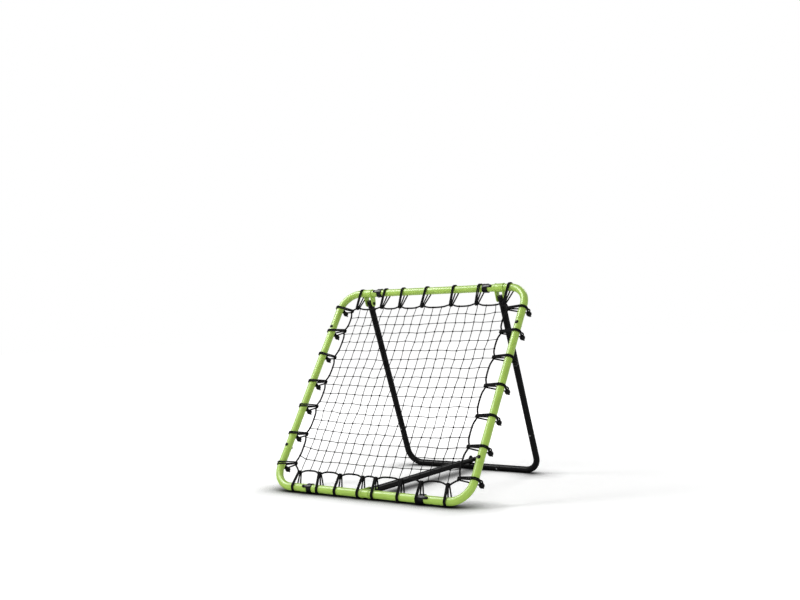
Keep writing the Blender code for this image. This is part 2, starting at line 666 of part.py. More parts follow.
def net_grid(rope):
    """The knots of the net, a Coons patch between its four edges inside the rope."""
    lines = NET_CELLS + 1
    dense = np.linspace(0.0, 1.0, 12, endpoint=False)
    xs, zs = np.array([point.x for point in rope]), np.array([point.z for point in rope])
    rope_x = np.concatenate([a + (b - a) * dense for a, b in zip(xs, np.roll(xs, -1))])
    rope_z = np.concatenate([a + (b - a) * dense for a, b in zip(zs, np.roll(zs, -1))])
    cell = (xs.max() - xs.min()) / NET_CELLS
    x_places = np.linspace(xs.min() + cell / 2, xs.max() - cell / 2, lines)[1:-1]
    z_places = np.linspace(zs.min() + cell / 2, zs.max() - cell / 2, lines)[1:-1]
    edges = np.zeros((lines, lines, 2))
    edges[0, 1:-1] = np.stack([x_places, rope_envelope(x_places, rope_x, rope_z, True, cell)], 1)
    edges[-1, 1:-1] = np.stack([x_places, rope_envelope(x_places, rope_x, rope_z, False, cell)], 1)
    edges[1:-1, 0] = np.stack([rope_envelope(z_places, rope_z, rope_x, True, cell), z_places], 1)
    edges[1:-1, -1] = np.stack([rope_envelope(z_places, rope_z, rope_x, False, cell), z_places], 1)
    for row, column in ((0, 0), (0, -1), (-1, 0), (-1, -1)):
        beside = edges[row, 1 if column == 0 else -2]
        above = edges[1 if row == 0 else -2, column]
        edges[row, column] = (beside + above) / 2

    share = np.linspace(0.0, 1.0, lines)
    s, t = share[None, :, None], share[:, None, None]
    rows = (1 - t) * edges[0][None] + t * edges[-1][None]
    columns = (1 - s) * edges[:, 0][:, None] + s * edges[:, -1][:, None]
    corners = ((1 - s) * (1 - t) * edges[0, 0] + s * (1 - t) * edges[0, -1]
               + (1 - s) * t * edges[-1, 0] + s * t * edges[-1, -1])
    return rows + columns - corners


def build_net():
    """The border rope and the flat square-mesh net inside it."""
    rope = rope_route()
    mesh = tube_mesh("border_rope", rope, [ROPE_RADIUS] * len(rope), CORD_SIDES, cyclic=True)
    add_object("border_rope", mesh, FRAME, finish="cord_black")

    bpy.ops.mesh.primitive_grid_add(x_subdivisions=NET_CELLS, y_subdivisions=NET_CELLS, size=1.0)
    sheet = bpy.context.active_object
    net = add_object("net", sheet.data, FRAME, finish="net_black")
    bpy.data.objects.remove(sheet)
    knots = net.data.vertices
    order = np.lexsort(([knot.co.x for knot in knots], [round(knot.co.y, 4) for knot in knots]))
    for index, (x, z) in zip(order, net_grid(rope).reshape(-1, 2)):
        knots[int(index)].co = (x, 0.0, z)
    strands = net.modifiers.new("strands", "WIREFRAME")
    strands.thickness = NET_STRAND
    strands.use_boundary = True
    strands.use_replace = True
    strands.use_even_offset = False


def build_legs():
    """The two legs with their end caps, and the bent lower corners of the stand."""
    joint = STAND_LEG - STAND_JOINT_UP - 2 * FIT
    bore = STAND_RADIUS - STAND_WALL
    cap, top = LEG_CAP / 2, LEG_CAP_LENGTH / 3
    solid_end = -LEG_CAP_LENGTH * 0.8
    profile = [(0.0, top), (cap - 2 * EDGE, top), (cap, top - 2 * EDGE), (cap, top - LEG_CAP_LENGTH),
               (STAND_RADIUS, top - LEG_CAP_LENGTH - EDGE), (STAND_RADIUS, -joint), (bore, -joint),
               (bore, solid_end), (0.0, solid_end)]
    for side, way in (("left", -1), ("right", 1)):
        x = way * HINGE_X
        leg = turned(f"{side}_stand_leg", profile, STAND, STAND_SIDES, finish="stand_black",
                     location=(x, 0, 0))
        drill_across(leg, f"{side}_leg", STAND, (0.0, 0.0), LEG_CAP, x)
        name = f"stand_{side}_corner_tube"
        joints = (STAND_JOINT_IN, STAND_JOINT_UP)
        tube, inside = bent_tube(name, STAND, "stand_black", (x, -STAND_LEG), (-way, 0, 0), (0, 0, 1),
                                 STAND_BEND, joints, STAND_RADIUS, STAND_WALL, STAND_SIDES)
        boolean(tube, "DIFFERENCE", inside)


def build_crossbar():
    """The crossbar of the stand with the arm's rear fork, whose bolt heads stand outside the cheeks."""
    half = HINGE_X - STAND_JOINT_IN - 2 * FIT
    seat = (0.0, -STAND_LEG)
    profile = [(0.0, half), (STAND_RADIUS, half), (STAND_RADIUS, -half), (0.0, -half)]
    bar = turned("stand_crossbar", profile, STAND, STAND_SIDES, finish="stand_black", location=(0, *seat),
                 rotation=(0, math.pi / 2, 0))
    rise = Matrix.Rotation(-STAND_LEAN, 3, "X") @ Vector((0.0, 0.0, ARM_REAR_RISE))
    pivot = (rise.y, rise.z - STAND_LEG)
    add_fork(bar, "arm_rear", STAND, seat, STAND_RADIUS - STAND_WALL / 2, pivot, ARM_REAR_NOSE, ARM_GAP,
             ARM_X)
    cheek = ARM_GAP / 2 + CHEEK_THICKNESS / 2
    for way in (-1, 1):
        ends = sorted((ARM_X + way * cheek, ARM_X + way * (cheek + CHEEK_THICKNESS / 2 + HEAD_HEIGHT)))
        boolean(bar, "UNION", across("arm_rear_bolt_head", HINGE_BOLT_HEAD / 2, ends, pivot, STAND))
    bore = across("stand_crossbar_bore", STAND_RADIUS - STAND_WALL, (-2 * half, 2 * half), seat, STAND,
                  STAND_SIDES)
    boolean(bar, "DIFFERENCE", bore)


def build_arm_outer():
    """The arm's outer tube, solid round its pivot, with the row of holes that the button locks into."""
    outer, bore = ARM_TUBE / 2, ARM_TUBE / 2 - ARM_WALL
    solid_end = -ARM_END - HINGE_BOLT
    profile = [(0.0, ARM_END), (outer - 3 * EDGE, ARM_END), (outer, ARM_END - 3 * EDGE),
               (outer, -ARM_OUTER_LENGTH), (bore, -ARM_OUTER_LENGTH), (bore, solid_end), (0.0, solid_end)]
    tube = turned("arm_outer_tube", profile, ARM, STAND_SIDES, finish="arm_black",
                  rotation=(math.pi / 2, 0, 0))
    drill_across(tube, "arm_outer", ARM, (0.0, 0.0), ARM_TUBE, 0.0)
    radius = clear_bore(BUTTON_DIAMETER / 2 + FIT, SMALL_SIDES)
    row = across("lock_holes", radius, (-ARM_TUBE, 0.0), (BUTTON_AT, 0.0), ARM)
    array = row.modifiers.new("row", "ARRAY")
    array.count = POSITIONS
    array.use_relative_offset = False
    array.use_constant_offset = True
    array.constant_offset_displace = (0.0, HOLE_PITCH, 0.0)
    boolean(tube, "DIFFERENCE", row)

    guide = clear_plug(bore, STAND_SIDES)
    slide = clear_bore(INNER_TUBE / 2, STAND_SIDES)
    profile = [(slide, BUSH_LIP), (outer, BUSH_LIP), (outer, FIT), (guide, FIT), (guide, -BUSH_LENGTH),
               (slide, -BUSH_LENGTH)]
    turned("arm_bush", profile, ARM, STAND_SIDES, ring=True, finish="plastic_black",
           location=(0, ARM_OUTER_LENGTH, 0), rotation=(-math.pi / 2, 0, 0))


def build_arm_inner():
    """The arm's inner tube with its guide shoulder, its rear pin and the spring button."""
    inner, core = INNER_TUBE / 2, INNER_TUBE / 2 - INNER_WALL
    length = ARM_LENGTH + ARM_END - INNER_START
    solid_end = length - 3 * ARM_END
    guide = clear_plug(ARM_TUBE / 2 - ARM_WALL, STAND_SIDES)
    profile = [(0.0, length), (inner - 3 * EDGE, length), (inner, length - 3 * EDGE),
               (inner, SHOULDER_LENGTH + EDGE), (guide, SHOULDER_LENGTH), (guide, 0.0), (core, 0.0),
               (core, solid_end), (0.0, solid_end)]
    slider = turned("arm_inner_tube", profile, ARM, STAND_SIDES, finish="arm_black",
                    location=(0, INNER_START, 0), rotation=(-math.pi / 2, 0, 0))
    drill_across(slider, "arm_inner", ARM, (ARM_LENGTH, 0.0), INNER_TUBE, 0.0)
    radius = clear_bore(BUTTON_DIAMETER / 2, SMALL_SIDES)
    boolean(slider, "DIFFERENCE", across("arm_inner_window", radius, (-ARM_TUBE, 0.0), (BUTTON_AT, 0.0), ARM))

    tip = ARM_TUBE / 2 - ARM_WALL - BUTTON_SUNK
    stem, foot = BUTTON_DIAMETER / 2, tip - BUTTON_LENGTH
    profile = [(0.0, tip), (stem * 0.6, tip), (stem, tip - EDGE), (stem, foot + BUTTON_FOOT),
               (stem + EDGE, foot + BUTTON_FOOT), (stem + EDGE, foot), (0.0, foot)]
    turned("lock_button", profile, ARM, SMALL_SIDES, finish="bolt_black", location=(0, BUTTON_AT, 0),
           rotation=(0, -math.pi / 2, 0))

    pin, washer = HINGE_BOLT / 2, HINGE_BOLT_HEAD / 2
    end, shoulder = ARM_GAP / 2 - FIT, inner + 2 * FIT
    profile = [(0.0, end), (washer, end), (washer, shoulder), (pin, shoulder), (pin, -shoulder),
               (washer, -shoulder), (washer, -end), (0.0, -end)]
    turned("arm_rear_pin", profile, ARM, SMALL_SIDES, finish="bolt_black", location=(0, ARM_LENGTH, 0),
           rotation=(0, math.pi / 2, 0))


build_corner_tubes()
build_rails_and_stiles()
build_collars()
build_bolts()
build_loops()
build_net()
build_legs()
build_crossbar()
build_arm_outer()
build_arm_inner()

print(f"stand hinge at {tuple(round(v, 5) for v in HINGE)}, swing {math.degrees(STAND_TRAVEL):.4f} degrees")
print(f"arm front pivot at {tuple(round(v, 5) for v in (ARM_X, ARM_FRONT.y, ARM_FRONT.z))}")
print(f"arm rise {math.degrees(ARM_RISE):.4f}, swing {math.degrees(ARM_RISE_LAST - ARM_RISE):.5f} degrees, "
      f"ratio {(ARM_RISE_LAST - ARM_RISE) / STAND_TRAVEL:.6f}")
print(f"arm travel {ARM_TRAVEL:.6f} m, {ARM_TRAVEL / STAND_TRAVEL:.6f} m a radian, "
      f"holes every {HOLE_PITCH:.4f} m")
print(f"arm direction (0, {math.cos(ARM_RISE):.6f}, {math.sin(ARM_RISE):.6f}), length {ARM_LENGTH:.5f}")
print(f"frame leans {math.degrees(FRAME_LEAN):.2f} degrees, stand {math.degrees(STAND_LEAN):.2f} degrees")
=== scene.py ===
"""Multisport rebounder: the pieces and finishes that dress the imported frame, and the studio it stands in.

Metres, Z up, in the frame's own axes: X runs across the rebounder and Y from its net to its rear stand.
"""

import json
import logging
import math
from collections.abc import Iterable, Sequence
from dataclasses import dataclass
from enum import Enum
from typing import NamedTuple

import bmesh
import bpy
import numpy as np
from mathutils import Matrix, Vector


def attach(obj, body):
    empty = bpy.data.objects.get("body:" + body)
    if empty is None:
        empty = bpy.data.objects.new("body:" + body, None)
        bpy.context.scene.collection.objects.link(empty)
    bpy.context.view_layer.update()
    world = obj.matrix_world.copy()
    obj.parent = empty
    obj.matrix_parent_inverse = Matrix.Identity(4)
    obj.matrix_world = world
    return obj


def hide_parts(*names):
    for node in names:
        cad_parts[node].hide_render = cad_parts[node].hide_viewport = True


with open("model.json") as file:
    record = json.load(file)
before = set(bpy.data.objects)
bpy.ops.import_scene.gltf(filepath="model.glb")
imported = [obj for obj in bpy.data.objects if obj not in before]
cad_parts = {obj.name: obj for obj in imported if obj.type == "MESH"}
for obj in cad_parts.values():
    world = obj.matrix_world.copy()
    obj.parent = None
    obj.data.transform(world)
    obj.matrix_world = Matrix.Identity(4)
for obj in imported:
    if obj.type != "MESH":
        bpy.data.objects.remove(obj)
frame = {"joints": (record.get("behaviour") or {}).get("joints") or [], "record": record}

LOG = logging.getLogger("rebounder")
QUARTER = math.pi / 2
# Turns of a turned shape, whose axis is Z, to each of the row's axes, and of a flat one to stand across X.
ABOUT_X = Matrix.Rotation(QUARTER, 4, "Y")
ABOUT_LEFT = Matrix.Rotation(-QUARTER, 4, "Y")
ABOUT_BACK = Matrix.Rotation(-QUARTER, 4, "X")
ABOUT_FRONT = Matrix.Rotation(QUARTER, 4, "X")
ON_EDGE = Matrix(((0, 0, 1, 0), (1, 0, 0, 0), (0, 1, 0, 0), (0, 0, 0, 1)))
# Clearance of pieces that slide into each other.
FIT = 0.0003
# How far past a rounded rim a ring of points holds a long side straight.
HOLD = 0.003
# Points closer than this are one.
MERGE = 0.000002
# The two sides of the rebounder, with their signs on X.
SIDES = (("left", -1), ("right", 1))

Colour = tuple[float, float, float]
Points = list[tuple[float, float]]


class Body(Enum):
    """The rigid bodies that a piece can ride on."""

    FRAME = "frame"
    STAND = "stand"
    ARM_OUTER = "arm_outer"
    ARM_INNER = "arm_inner"
    BUTTON = "button"


class Side(Enum):
    """The four sides of the net."""

    LEFT = "left"
    RIGHT = "right"
    TOP = "top"
    BOTTOM = "bottom"


def joint_of(name: str) -> dict:
    """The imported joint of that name."""
    return next(joint for joint in frame["joints"] if joint["name"] == name)


@dataclass(frozen=True)
class Layout:
    """The sizes that several sub-assemblies share, and the planes that they are built in.

    Plane axes are X across, Y behind the frame's plane and Z up its slope, from the bottom rail's middle.
    """

    frame_width: float = 1.0
    frame_tube: float = 0.032
    frame_lean: float = math.radians(33.4)
    rail_joint: float = 0.204
    stile_joint: float = 0.1605
    spigot: float = 0.045
    saddle: float = 0.0025
    hinge_from_corner: float = 0.137
    hinge_back: float = 0.034
    hinge_down: float = 0.033
    hinge_gap: float = 0.032
    arm_gap: float = 0.030
    cheek: float = 0.004
    arm_front_back: float = 0.035
    arm_front_up: float = 0.031
    arm_length: float = 0.78406
    arm_rear_rise: float = 0.030
    stand_tube: float = 0.028
    stand_leg: float = 0.821
    bolt: float = 0.008
    rope: float = 0.0072

    @property
    def radius(self) -> float:
        """Radius of the main frame's tube."""
        return self.frame_tube / 2

    @property
    def half(self) -> float:
        """Half of the centre lines' square, which is as wide as it is high."""
        return (self.frame_width - self.frame_tube) / 2

    @property
    def hinge_x(self) -> float:
        """Distance of a leg from the middle."""
        return self.half - self.hinge_from_corner

    @property
    def hinge_up(self) -> float:
        """Height of the stand's hinge axis up the slope."""
        return 2 * self.half - self.hinge_down

    @property
    def plane(self) -> Matrix:
        """From plane axes to the row's axes, found from the stand's hinge."""
        lean = Matrix.Rotation(-self.frame_lean, 4, "X")
        hinge = Vector(joint_of("stand_hinge")["pos_m"])
        return Matrix.Translation(hinge - lean @ Vector((0.0, self.hinge_back, self.hinge_up))) @ lean

    @property
    def stand_lean(self) -> float:
        """Angle of the legs from upright, with the crossbar on the floor."""
        return math.acos((joint_of("stand_hinge")["pos_m"][2] - self.stand_tube / 2) / self.stand_leg)

    @property
    def stand(self) -> Matrix:
        """From the stand's axes, whose Z runs up its legs from the hinge, to the row's."""
        return Matrix.Translation(joint_of("stand_hinge")["pos_m"]) @ Matrix.Rotation(self.stand_lean, 4, "X")

    @property
    def arm(self) -> Matrix:
        """From the arm's axes, whose Y runs along it from the front pivot, to the row's."""
        _, along, up = joint_of("arm_slide")["axis"]
        turn = Matrix.Rotation(math.atan2(up, along), 4, "X")
        return Matrix.Translation(joint_of("arm_swing")["pos_m"]) @ turn

    @property
    def arm_x(self) -> float:
        """Middle of the arm across the frame."""
        return joint_of("arm_swing")["pos_m"][0]

    def side_point(self, side: Side, along: float, outward: float, behind: float) -> Vector:
        """A point beside one side of the frame, in plane axes.

        Args:
            side: The side it belongs to.
            along: Distance along the side from its middle.
            outward: Distance out from the tube's centre line, away from the net.
            behind: Distance behind the frame's plane.

        Returns:
            The point, X across, Y behind and Z up the slope.
        """
        if side in (Side.LEFT, Side.RIGHT):
            way = -1 if side is Side.LEFT else 1
            return Vector((way * (self.half + outward), behind, self.half + along))
        way = -1 if side is Side.BOTTOM else 1
        return Vector((along, behind, self.half + way * (self.half + outward)))


class Value:
    """A shader socket that takes part in arithmetic."""

    def __init__(self, graph: "Graph", socket: bpy.types.NodeSocket) -> None:
        """Wraps a socket of that graph."""
        self.graph = graph
        self.socket = socket

    def _math(self, operation: str, first: "Value | float", second: "Value | float" = 0.0) -> "Value":
        """One Math node on two numbers."""
        return self.graph.node("ShaderNodeMath", {0: first, 1: second}, {"operation": operation})

    def __add__(self, other: "Value | float") -> "Value":
        """The sum."""
        return self._math("ADD", self, other)

    __radd__ = __add__

    def __sub__(self, other: "Value | float") -> "Value":
        """The difference."""
        return self._math("SUBTRACT", self, other)

    def __rsub__(self, other: float) -> "Value":
        """The difference, from a number."""
        return self._math("SUBTRACT", other, self)

    def __mul__(self, other: "Value | float") -> "Value":
        """The product."""
        return self._math("MULTIPLY", self, other)

    __rmul__ = __mul__

    def __pow__(self, power: float) -> "Value":
        """A power."""
        return self._math("POWER", self, power)

    def highest(self, other: "Value") -> "Value":
        """The larger of two."""
        return self._math("MAXIMUM", self, other)

    def wave(self) -> "Value":
        """Its sine, moved to lie between 0 and 1."""
        return self._math("SINE", self) * 0.5 + 0.5

    def ramp(self, low: float, high: float) -> "Value":
        """A smooth step from 0 at low to 1 at high."""
        settings = {"interpolation_type": "SMOOTHSTEP"}
        return self.graph.node("ShaderNodeMapRange", {0: self, 1: low, 2: high, 3: 0.0, 4: 1.0}, settings)


class Graph:
    """The node tree of one material or of the world, round the shader that it starts with."""

    def __init__(self, owner: bpy.types.Material | bpy.types.World) -> None:
        """Opens the nodes of a material or world.

        Args:
            owner: The material or world.
        """
        owner.use_nodes = True
        self.owner = owner
        self.tree = owner.node_tree
        self.shader = next(node for node in self.tree.nodes if node.type in ("BSDF_PRINCIPLED", "BACKGROUND"))

    def node(self, kind: str, sockets: dict, settings: dict | None = None, output: str | int = 0) -> Value:
        """Adds a node.

        Args:
            kind: Its type.
            sockets: Values or links, by the name or number of an input.
            settings: Its own properties, set first.
            output: The output that is wanted.

        Returns:
            That output.
        """
        made = self.tree.nodes.new(kind)
        for name, setting in (settings or {}).items():
            setattr(made, name, setting)
        for name, value in sockets.items():
            self.feed(made.inputs[name], value)
        return Value(self, made.outputs[output])

    def feed(self, socket: bpy.types.NodeSocket, value: Value | float | Sequence[float]) -> None:
        """Links or sets one input.

        Args:
            socket: The input.
            value: What it links to, or its number, colour or vector.
        """
        if isinstance(value, Value):
            self.tree.links.new(value.socket, socket)
        else:
            socket.default_value = value

    def place(self) -> Value:
        """The point on the piece, in metres."""
        return self.node("ShaderNodeTexCoord", {}, output="Object")

    def part_of(self, vector: Value, axis: str) -> Value:
        """One coordinate of a vector."""
        return self.node("ShaderNodeSeparateXYZ", {0: vector}, output=axis)

    def noise(self, place: Value, size: float, detail: float = 2.0, rough: float = 0.5) -> Value:
        """Noise between 0 and 1, whose spots are about size metres across."""
        sockets = {"Vector": place, "Scale": 1.0 / size, "Detail": detail, "Roughness": rough}
        return self.node("ShaderNodeTexNoise", sockets, {"noise_dimensions": "3D"})

    def mix(self, share: Value, first: Colour | Value, second: Colour | Value) -> Value:
        """A colour between two.

        Args:
            share: 0 for the first, 1 for the second.
            first: The one colour.
            second: The other.

        Returns:
            The mixed colour.
        """
        first = first if isinstance(first, Value) else (*first, 1.0)
        second = second if isinstance(second, Value) else (*second, 1.0)
        return self.node("ShaderNodeMix", {0: share, 6: first, 7: second}, {"data_type": "RGBA"}, 2)

    def bump(self, height: Value, depth: float, strength: float) -> Value:
        """A normal from a height between 0 and 1 that is depth metres high."""
        return self.node("ShaderNodeBump", {"Height": height, "Distance": depth, "Strength": strength})

    def seen(self) -> Value:
        """1 where the camera, a reflection or a clear surface sees it, and 0 where it only gives light."""
        rays = [self.node("ShaderNodeLightPath", {}, output=f"Is {kind} Ray")
                for kind in ("Camera", "Glossy", "Transmission")]
        return rays[0].highest(rays[1]).highest(rays[2])

    def surface(self, **sockets: Value | float | Sequence[float]) -> bpy.types.Material | bpy.types.World:
        """Feeds the shader's inputs, named with underscores for their spaces.

        Args:
            **sockets: Values or links, such as base_color or specular_ior_level.

        Returns:
            The finished material or world.
        """
        names = {socket.name.lower().replace(" ", "_"): socket for socket in self.shader.inputs}
        for name, value in sockets.items():
            self.feed(names[name], value)
        return self.owner


def lighter(colour: Colour, factor: float) -> Colour:
    """A colour made brighter, or darker, by a factor."""
    return tuple(min(1.0, channel * factor) for channel in colour)


@dataclass(frozen=True)
class Finish:
    """What every finish has: its name, the record's slot that it stands for, and its colour."""

    name: str
    slot: str
    colour: Colour
    roughness: float

    def build(self) -> bpy.types.Material:
        """Makes the material."""
        raise NotImplementedError

    def material(self) -> bpy.types.Material:
        """The material, made once."""
        return bpy.data.materials.get(self.name) or self.build()


@dataclass(frozen=True)
class PowderCoat(Finish):
    """Powder coat on steel: orange peel, a cloudy colour, faint scuffs and dust towards the floor."""

    specular: float = 0.5
    coat: float = 0.0
    coat_roughness: float = 0.2
    peel_size: float = 0.0022
    peel_depth: float = 0.00006
    cloud_size: float = 0.07
    scuff_size: float = 0.009
    dust: Colour = (0.42, 0.40, 0.36)
    dustiness: float = 0.04
    dust_size: float = 0.006
    dust_top: float = 0.055

    def build(self) -> bpy.types.Material:
        """Makes the material's nodes.

        Returns:
            The material.
        """
        graph = Graph(bpy.data.materials.new(self.name))
        place = graph.place()
        cloud = graph.noise(place, self.cloud_size, 3.0)
        scuff = graph.noise(place, self.scuff_size, 5.0, 0.65).ramp(0.62, 0.74)
        low = 1.0 - graph.part_of(place, "Z").ramp(0.004, self.dust_top)
        dusty = low * graph.noise(place, self.dust_size, 4.0, 0.7).ramp(0.45, 0.75) * self.dustiness
        colour = graph.mix(cloud.ramp(0.3, 0.7), lighter(self.colour, 0.95), lighter(self.colour, 1.05))
        colour = graph.mix(dusty, colour, self.dust)
        rough = self.roughness + (cloud - 0.5) * 0.06 + scuff * 0.03 + dusty
        gloss = self.coat * (1.0 - (scuff + dusty) * 0.4)
        peel = graph.noise(place, self.peel_size, 1.0)
        return graph.surface(base_color=colour, roughness=rough, specular_ior_level=self.specular, coat_weight=gloss,
                             coat_roughness=self.coat_roughness, normal=graph.bump(peel, self.peel_depth, 0.6))


@dataclass(frozen=True)
class MouldedPlastic(Finish):
    """Glossy moulded plastic with a faint flow pattern and rubbed patches."""

    coat: float = 0.2
    flow_size: float = 0.012
    rub_size: float = 0.004
    grain_size: float = 0.0009
    grain_depth: float = 0.00003

    def build(self) -> bpy.types.Material:
        """Makes the material's nodes.

        Returns:
            The material.
        """
        graph = Graph(bpy.data.materials.new(self.name))
        place = graph.place()
        flow = graph.noise(place, self.flow_size, 4.0)
        rubbed = graph.noise(place, self.rub_size, 5.0, 0.7).ramp(0.55, 0.75)
        grain = graph.noise(place, self.grain_size, 2.0)
        colour = graph.mix(rubbed * 0.5, self.colour, lighter(self.colour, 1.8))
        rough = self.roughness + (flow - 0.5) * 0.08 + rubbed * 0.06
        return graph.surface(base_color=colour, roughness=rough, specular_ior_level=0.03,
                             coat_weight=self.coat * (1.0 - rubbed * 0.4), coat_roughness=self.roughness,
                             normal=graph.bump(grain, self.grain_depth, 0.5))


@dataclass(frozen=True)
class BlackedSteel(Finish):
    """Blacked steel of bolts and pins, worn brighter in specks."""

    bare: Colour = (0.32, 0.32, 0.33)
    wear_size: float = 0.0022
    wear_depth: float = 0.00002
    film_size: float = 0.010

    def build(self) -> bpy.types.Material:
        """Makes the material's nodes.

        Returns:
            The material.
        """
        graph = Graph(bpy.data.materials.new(self.name))
        place = graph.place()
        worn = graph.noise(place, self.wear_size, 5.0, 0.75).ramp(0.60, 0.72)
        film = graph.noise(place, self.film_size, 3.0)
        colour = graph.mix(worn * 0.35, self.colour, self.bare)
        rough = self.roughness + (film - 0.5) * 0.16 + worn * 0.08
        return graph.surface(base_color=colour, metallic=0.10 + worn * 0.4, roughness=rough,
                             specular_ior_level=0.06, normal=graph.bump(worn, self.wear_depth, 0.5))


@dataclass(frozen=True)
class Braid(Finish):
    """A braided or laid cord. Its UV map counts turns round the cord and metres along it."""

    starts: int = 5
    pitch: float = 0.011
    crossed: bool = True
    relief: float = 0.0005
    fibre_size: float = 0.0007
    fluff_size: float = 0.016

    def build(self) -> bpy.types.Material:
        """Makes the material's nodes.

        Returns:
            The material.
        """
        graph = Graph(bpy.data.materials.new(self.name))
        place = graph.place()
        wrap = graph.node("ShaderNodeUVMap", {}, {"uv_map": Solid.WRAP})
        turn = graph.part_of(wrap, "X") * (2 * math.pi * self.starts)
        run = graph.part_of(wrap, "Y") * (2 * math.pi * self.starts / self.pitch)
        lay = (turn + run).wave()
        if self.crossed:
            lay = 1.0 - (1.0 - lay) * (1.0 - (turn - run).wave())
        fibre = graph.noise(place, self.fibre_size, 3.0, 0.6)
        rise = lay * 0.8 + fibre * 0.2
        fluff = graph.noise(place, self.fluff_size, 3.0)
        # Painted shade and highlight: the colour is darker in the grooves between strands and lighter on their
        # crowns, following strand height, with random fibre tone mixed in.
        colour = graph.mix(rise.ramp(0.35, 0.95), lighter(self.colour, 0.45), lighter(self.colour, 1.5))
        colour = graph.mix(fluff.ramp(0.55, 0.8) * 0.35, colour, lighter(self.colour, 2.6))
        return graph.surface(base_color=colour, roughness=self.roughness + (fibre - 0.5) * 0.2,
                             specular_ior_level=0.06, normal=graph.bump(rise, self.relief, 0.9))


GREEN = PowderCoat("green powder coat", "frame_green", (0.372, 0.562, 0.098), 0.36, specular=0.22, coat=0.10,
                   peel_depth=0.000006)
STAND_BLACK = PowderCoat("stand powder coat", "stand_black", (0.0030, 0.0030, 0.0033), 0.40, specular=0.01, coat=0.13,
                         peel_depth=0.000008)
ARM_BLACK = PowderCoat("arm powder coat", "arm_black", (0.0040, 0.0040, 0.0042), 0.40, specular=0.0, coat=0.14,
                       peel_depth=0.000008)
PLASTIC = MouldedPlastic("black plastic", "plastic_black", (0.0022, 0.0022, 0.0025), 0.20, coat=0.20)
BALL_PLASTIC = MouldedPlastic("ball plastic", "cord_black", (0.0028, 0.0028, 0.0030), 0.28, coat=0.12)
STEEL = BlackedSteel("blacked steel", "bolt_black", (0.006, 0.006, 0.0065), 0.30)
CORD = Braid("elastic cord", "cord_black", (0.0040, 0.0040, 0.0043), 0.75)
ROPE = Braid("border rope", "cord_black", (0.0042, 0.0042, 0.0045), 0.80, starts=6, pitch=0.014)
# Painted highlight: light grey screws that show as pale dots.
HIGHLIGHT_GREY_SCREW = BlackedSteel("zinc screw", "bolt_black", (0.26, 0.26, 0.27), 0.26, bare=(0.5, 0.5, 0.5))
TWINE = Braid("net twine", "net_black", (0.0050, 0.0050, 0.0052), 0.84, starts=3, pitch=0.009, crossed=False,
              relief=0.0003)


def at(base: Matrix, spot: Sequence[float], turn: Matrix = Matrix.Identity(4)) -> Matrix:
    """From the axes of a shape that lies turned at a spot of a base to the row's."""
    return base @ Matrix.Translation(spot) @ turn


def linked(name: str, data: bpy.types.ID) -> bpy.types.Object:
    """Puts a new object into the scene.

    Args:
        name: Its name.
        data: Its mesh, lamp or camera.

    Returns:
        The object.
    """
    made = bpy.data.objects.new(name, data)
    bpy.context.scene.collection.objects.link(made)
    return made


def arc(centre: Sequence[float], radius: float, start: float, stop: float, count: int,
        rise: float | None = None) -> Points:
    """Points of an arc, or of half an ellipse's.

    Args:
        centre: Its centre.
        radius: Its radius, along the first axis.
        start: The angle of its first point.
        stop: The angle of its last point.
        count: How many points it has.
        rise: Its radius along the second axis, if that is another.

    Returns:
        The points.
    """
    rise = radius if rise is None else rise
    return [(centre[0] + radius * math.cos(angle), centre[1] + rise * math.sin(angle))
            for angle in np.linspace(start, stop, count)]


def tangents(route: Sequence[Vector], closed: bool) -> list[Vector]:
    """The direction of a route at each of its points.

    Args:
        route: The points.
        closed: Whether the last point joins the first.

    Returns:
        One unit vector for each point.
    """
    last = len(route) - 1
    ways = []
    for number in range(len(route)):
        before = route[number - 1] if closed or number > 0 else route[0]
        after = route[(number + 1) % len(route)] if closed or number < last else route[last]
        ways.append((after - before).normalized())
    return ways


def carried_frames(route: Sequence[Vector], closed: bool) -> list[Matrix]:
    """A frame at each point of a route, its Z along the route, that twists as little as it can.

    Args:
        route: The points.
        closed: Whether the last point joins the first. The leftover twist is then spread along the route.

    Returns:
        One 4x4 matrix for each point.
    """
    ways = tangents(route, closed)
    turns = [ways[0].to_track_quat("Z", "Y")]
    for before, after in zip(ways, ways[1:]):
        turns.append(before.rotation_difference(after) @ turns[-1])
    if closed:
        home = ways[-1].rotation_difference(ways[0]) @ turns[-1]
        start, end = turns[0] @ Vector((1, 0, 0)), home @ Vector((1, 0, 0))
        slip = math.atan2(ways[0].dot(end.cross(start)), end.dot(start))
        count = len(route)
        turns = [Matrix.Rotation(slip * number / count, 3, way).to_quaternion() @ turn
                 for number, (way, turn) in enumerate(zip(ways, turns))]
    return [Matrix.Translation(point) @ turn.to_matrix().to_4x4() for point, turn in zip(route, turns)]


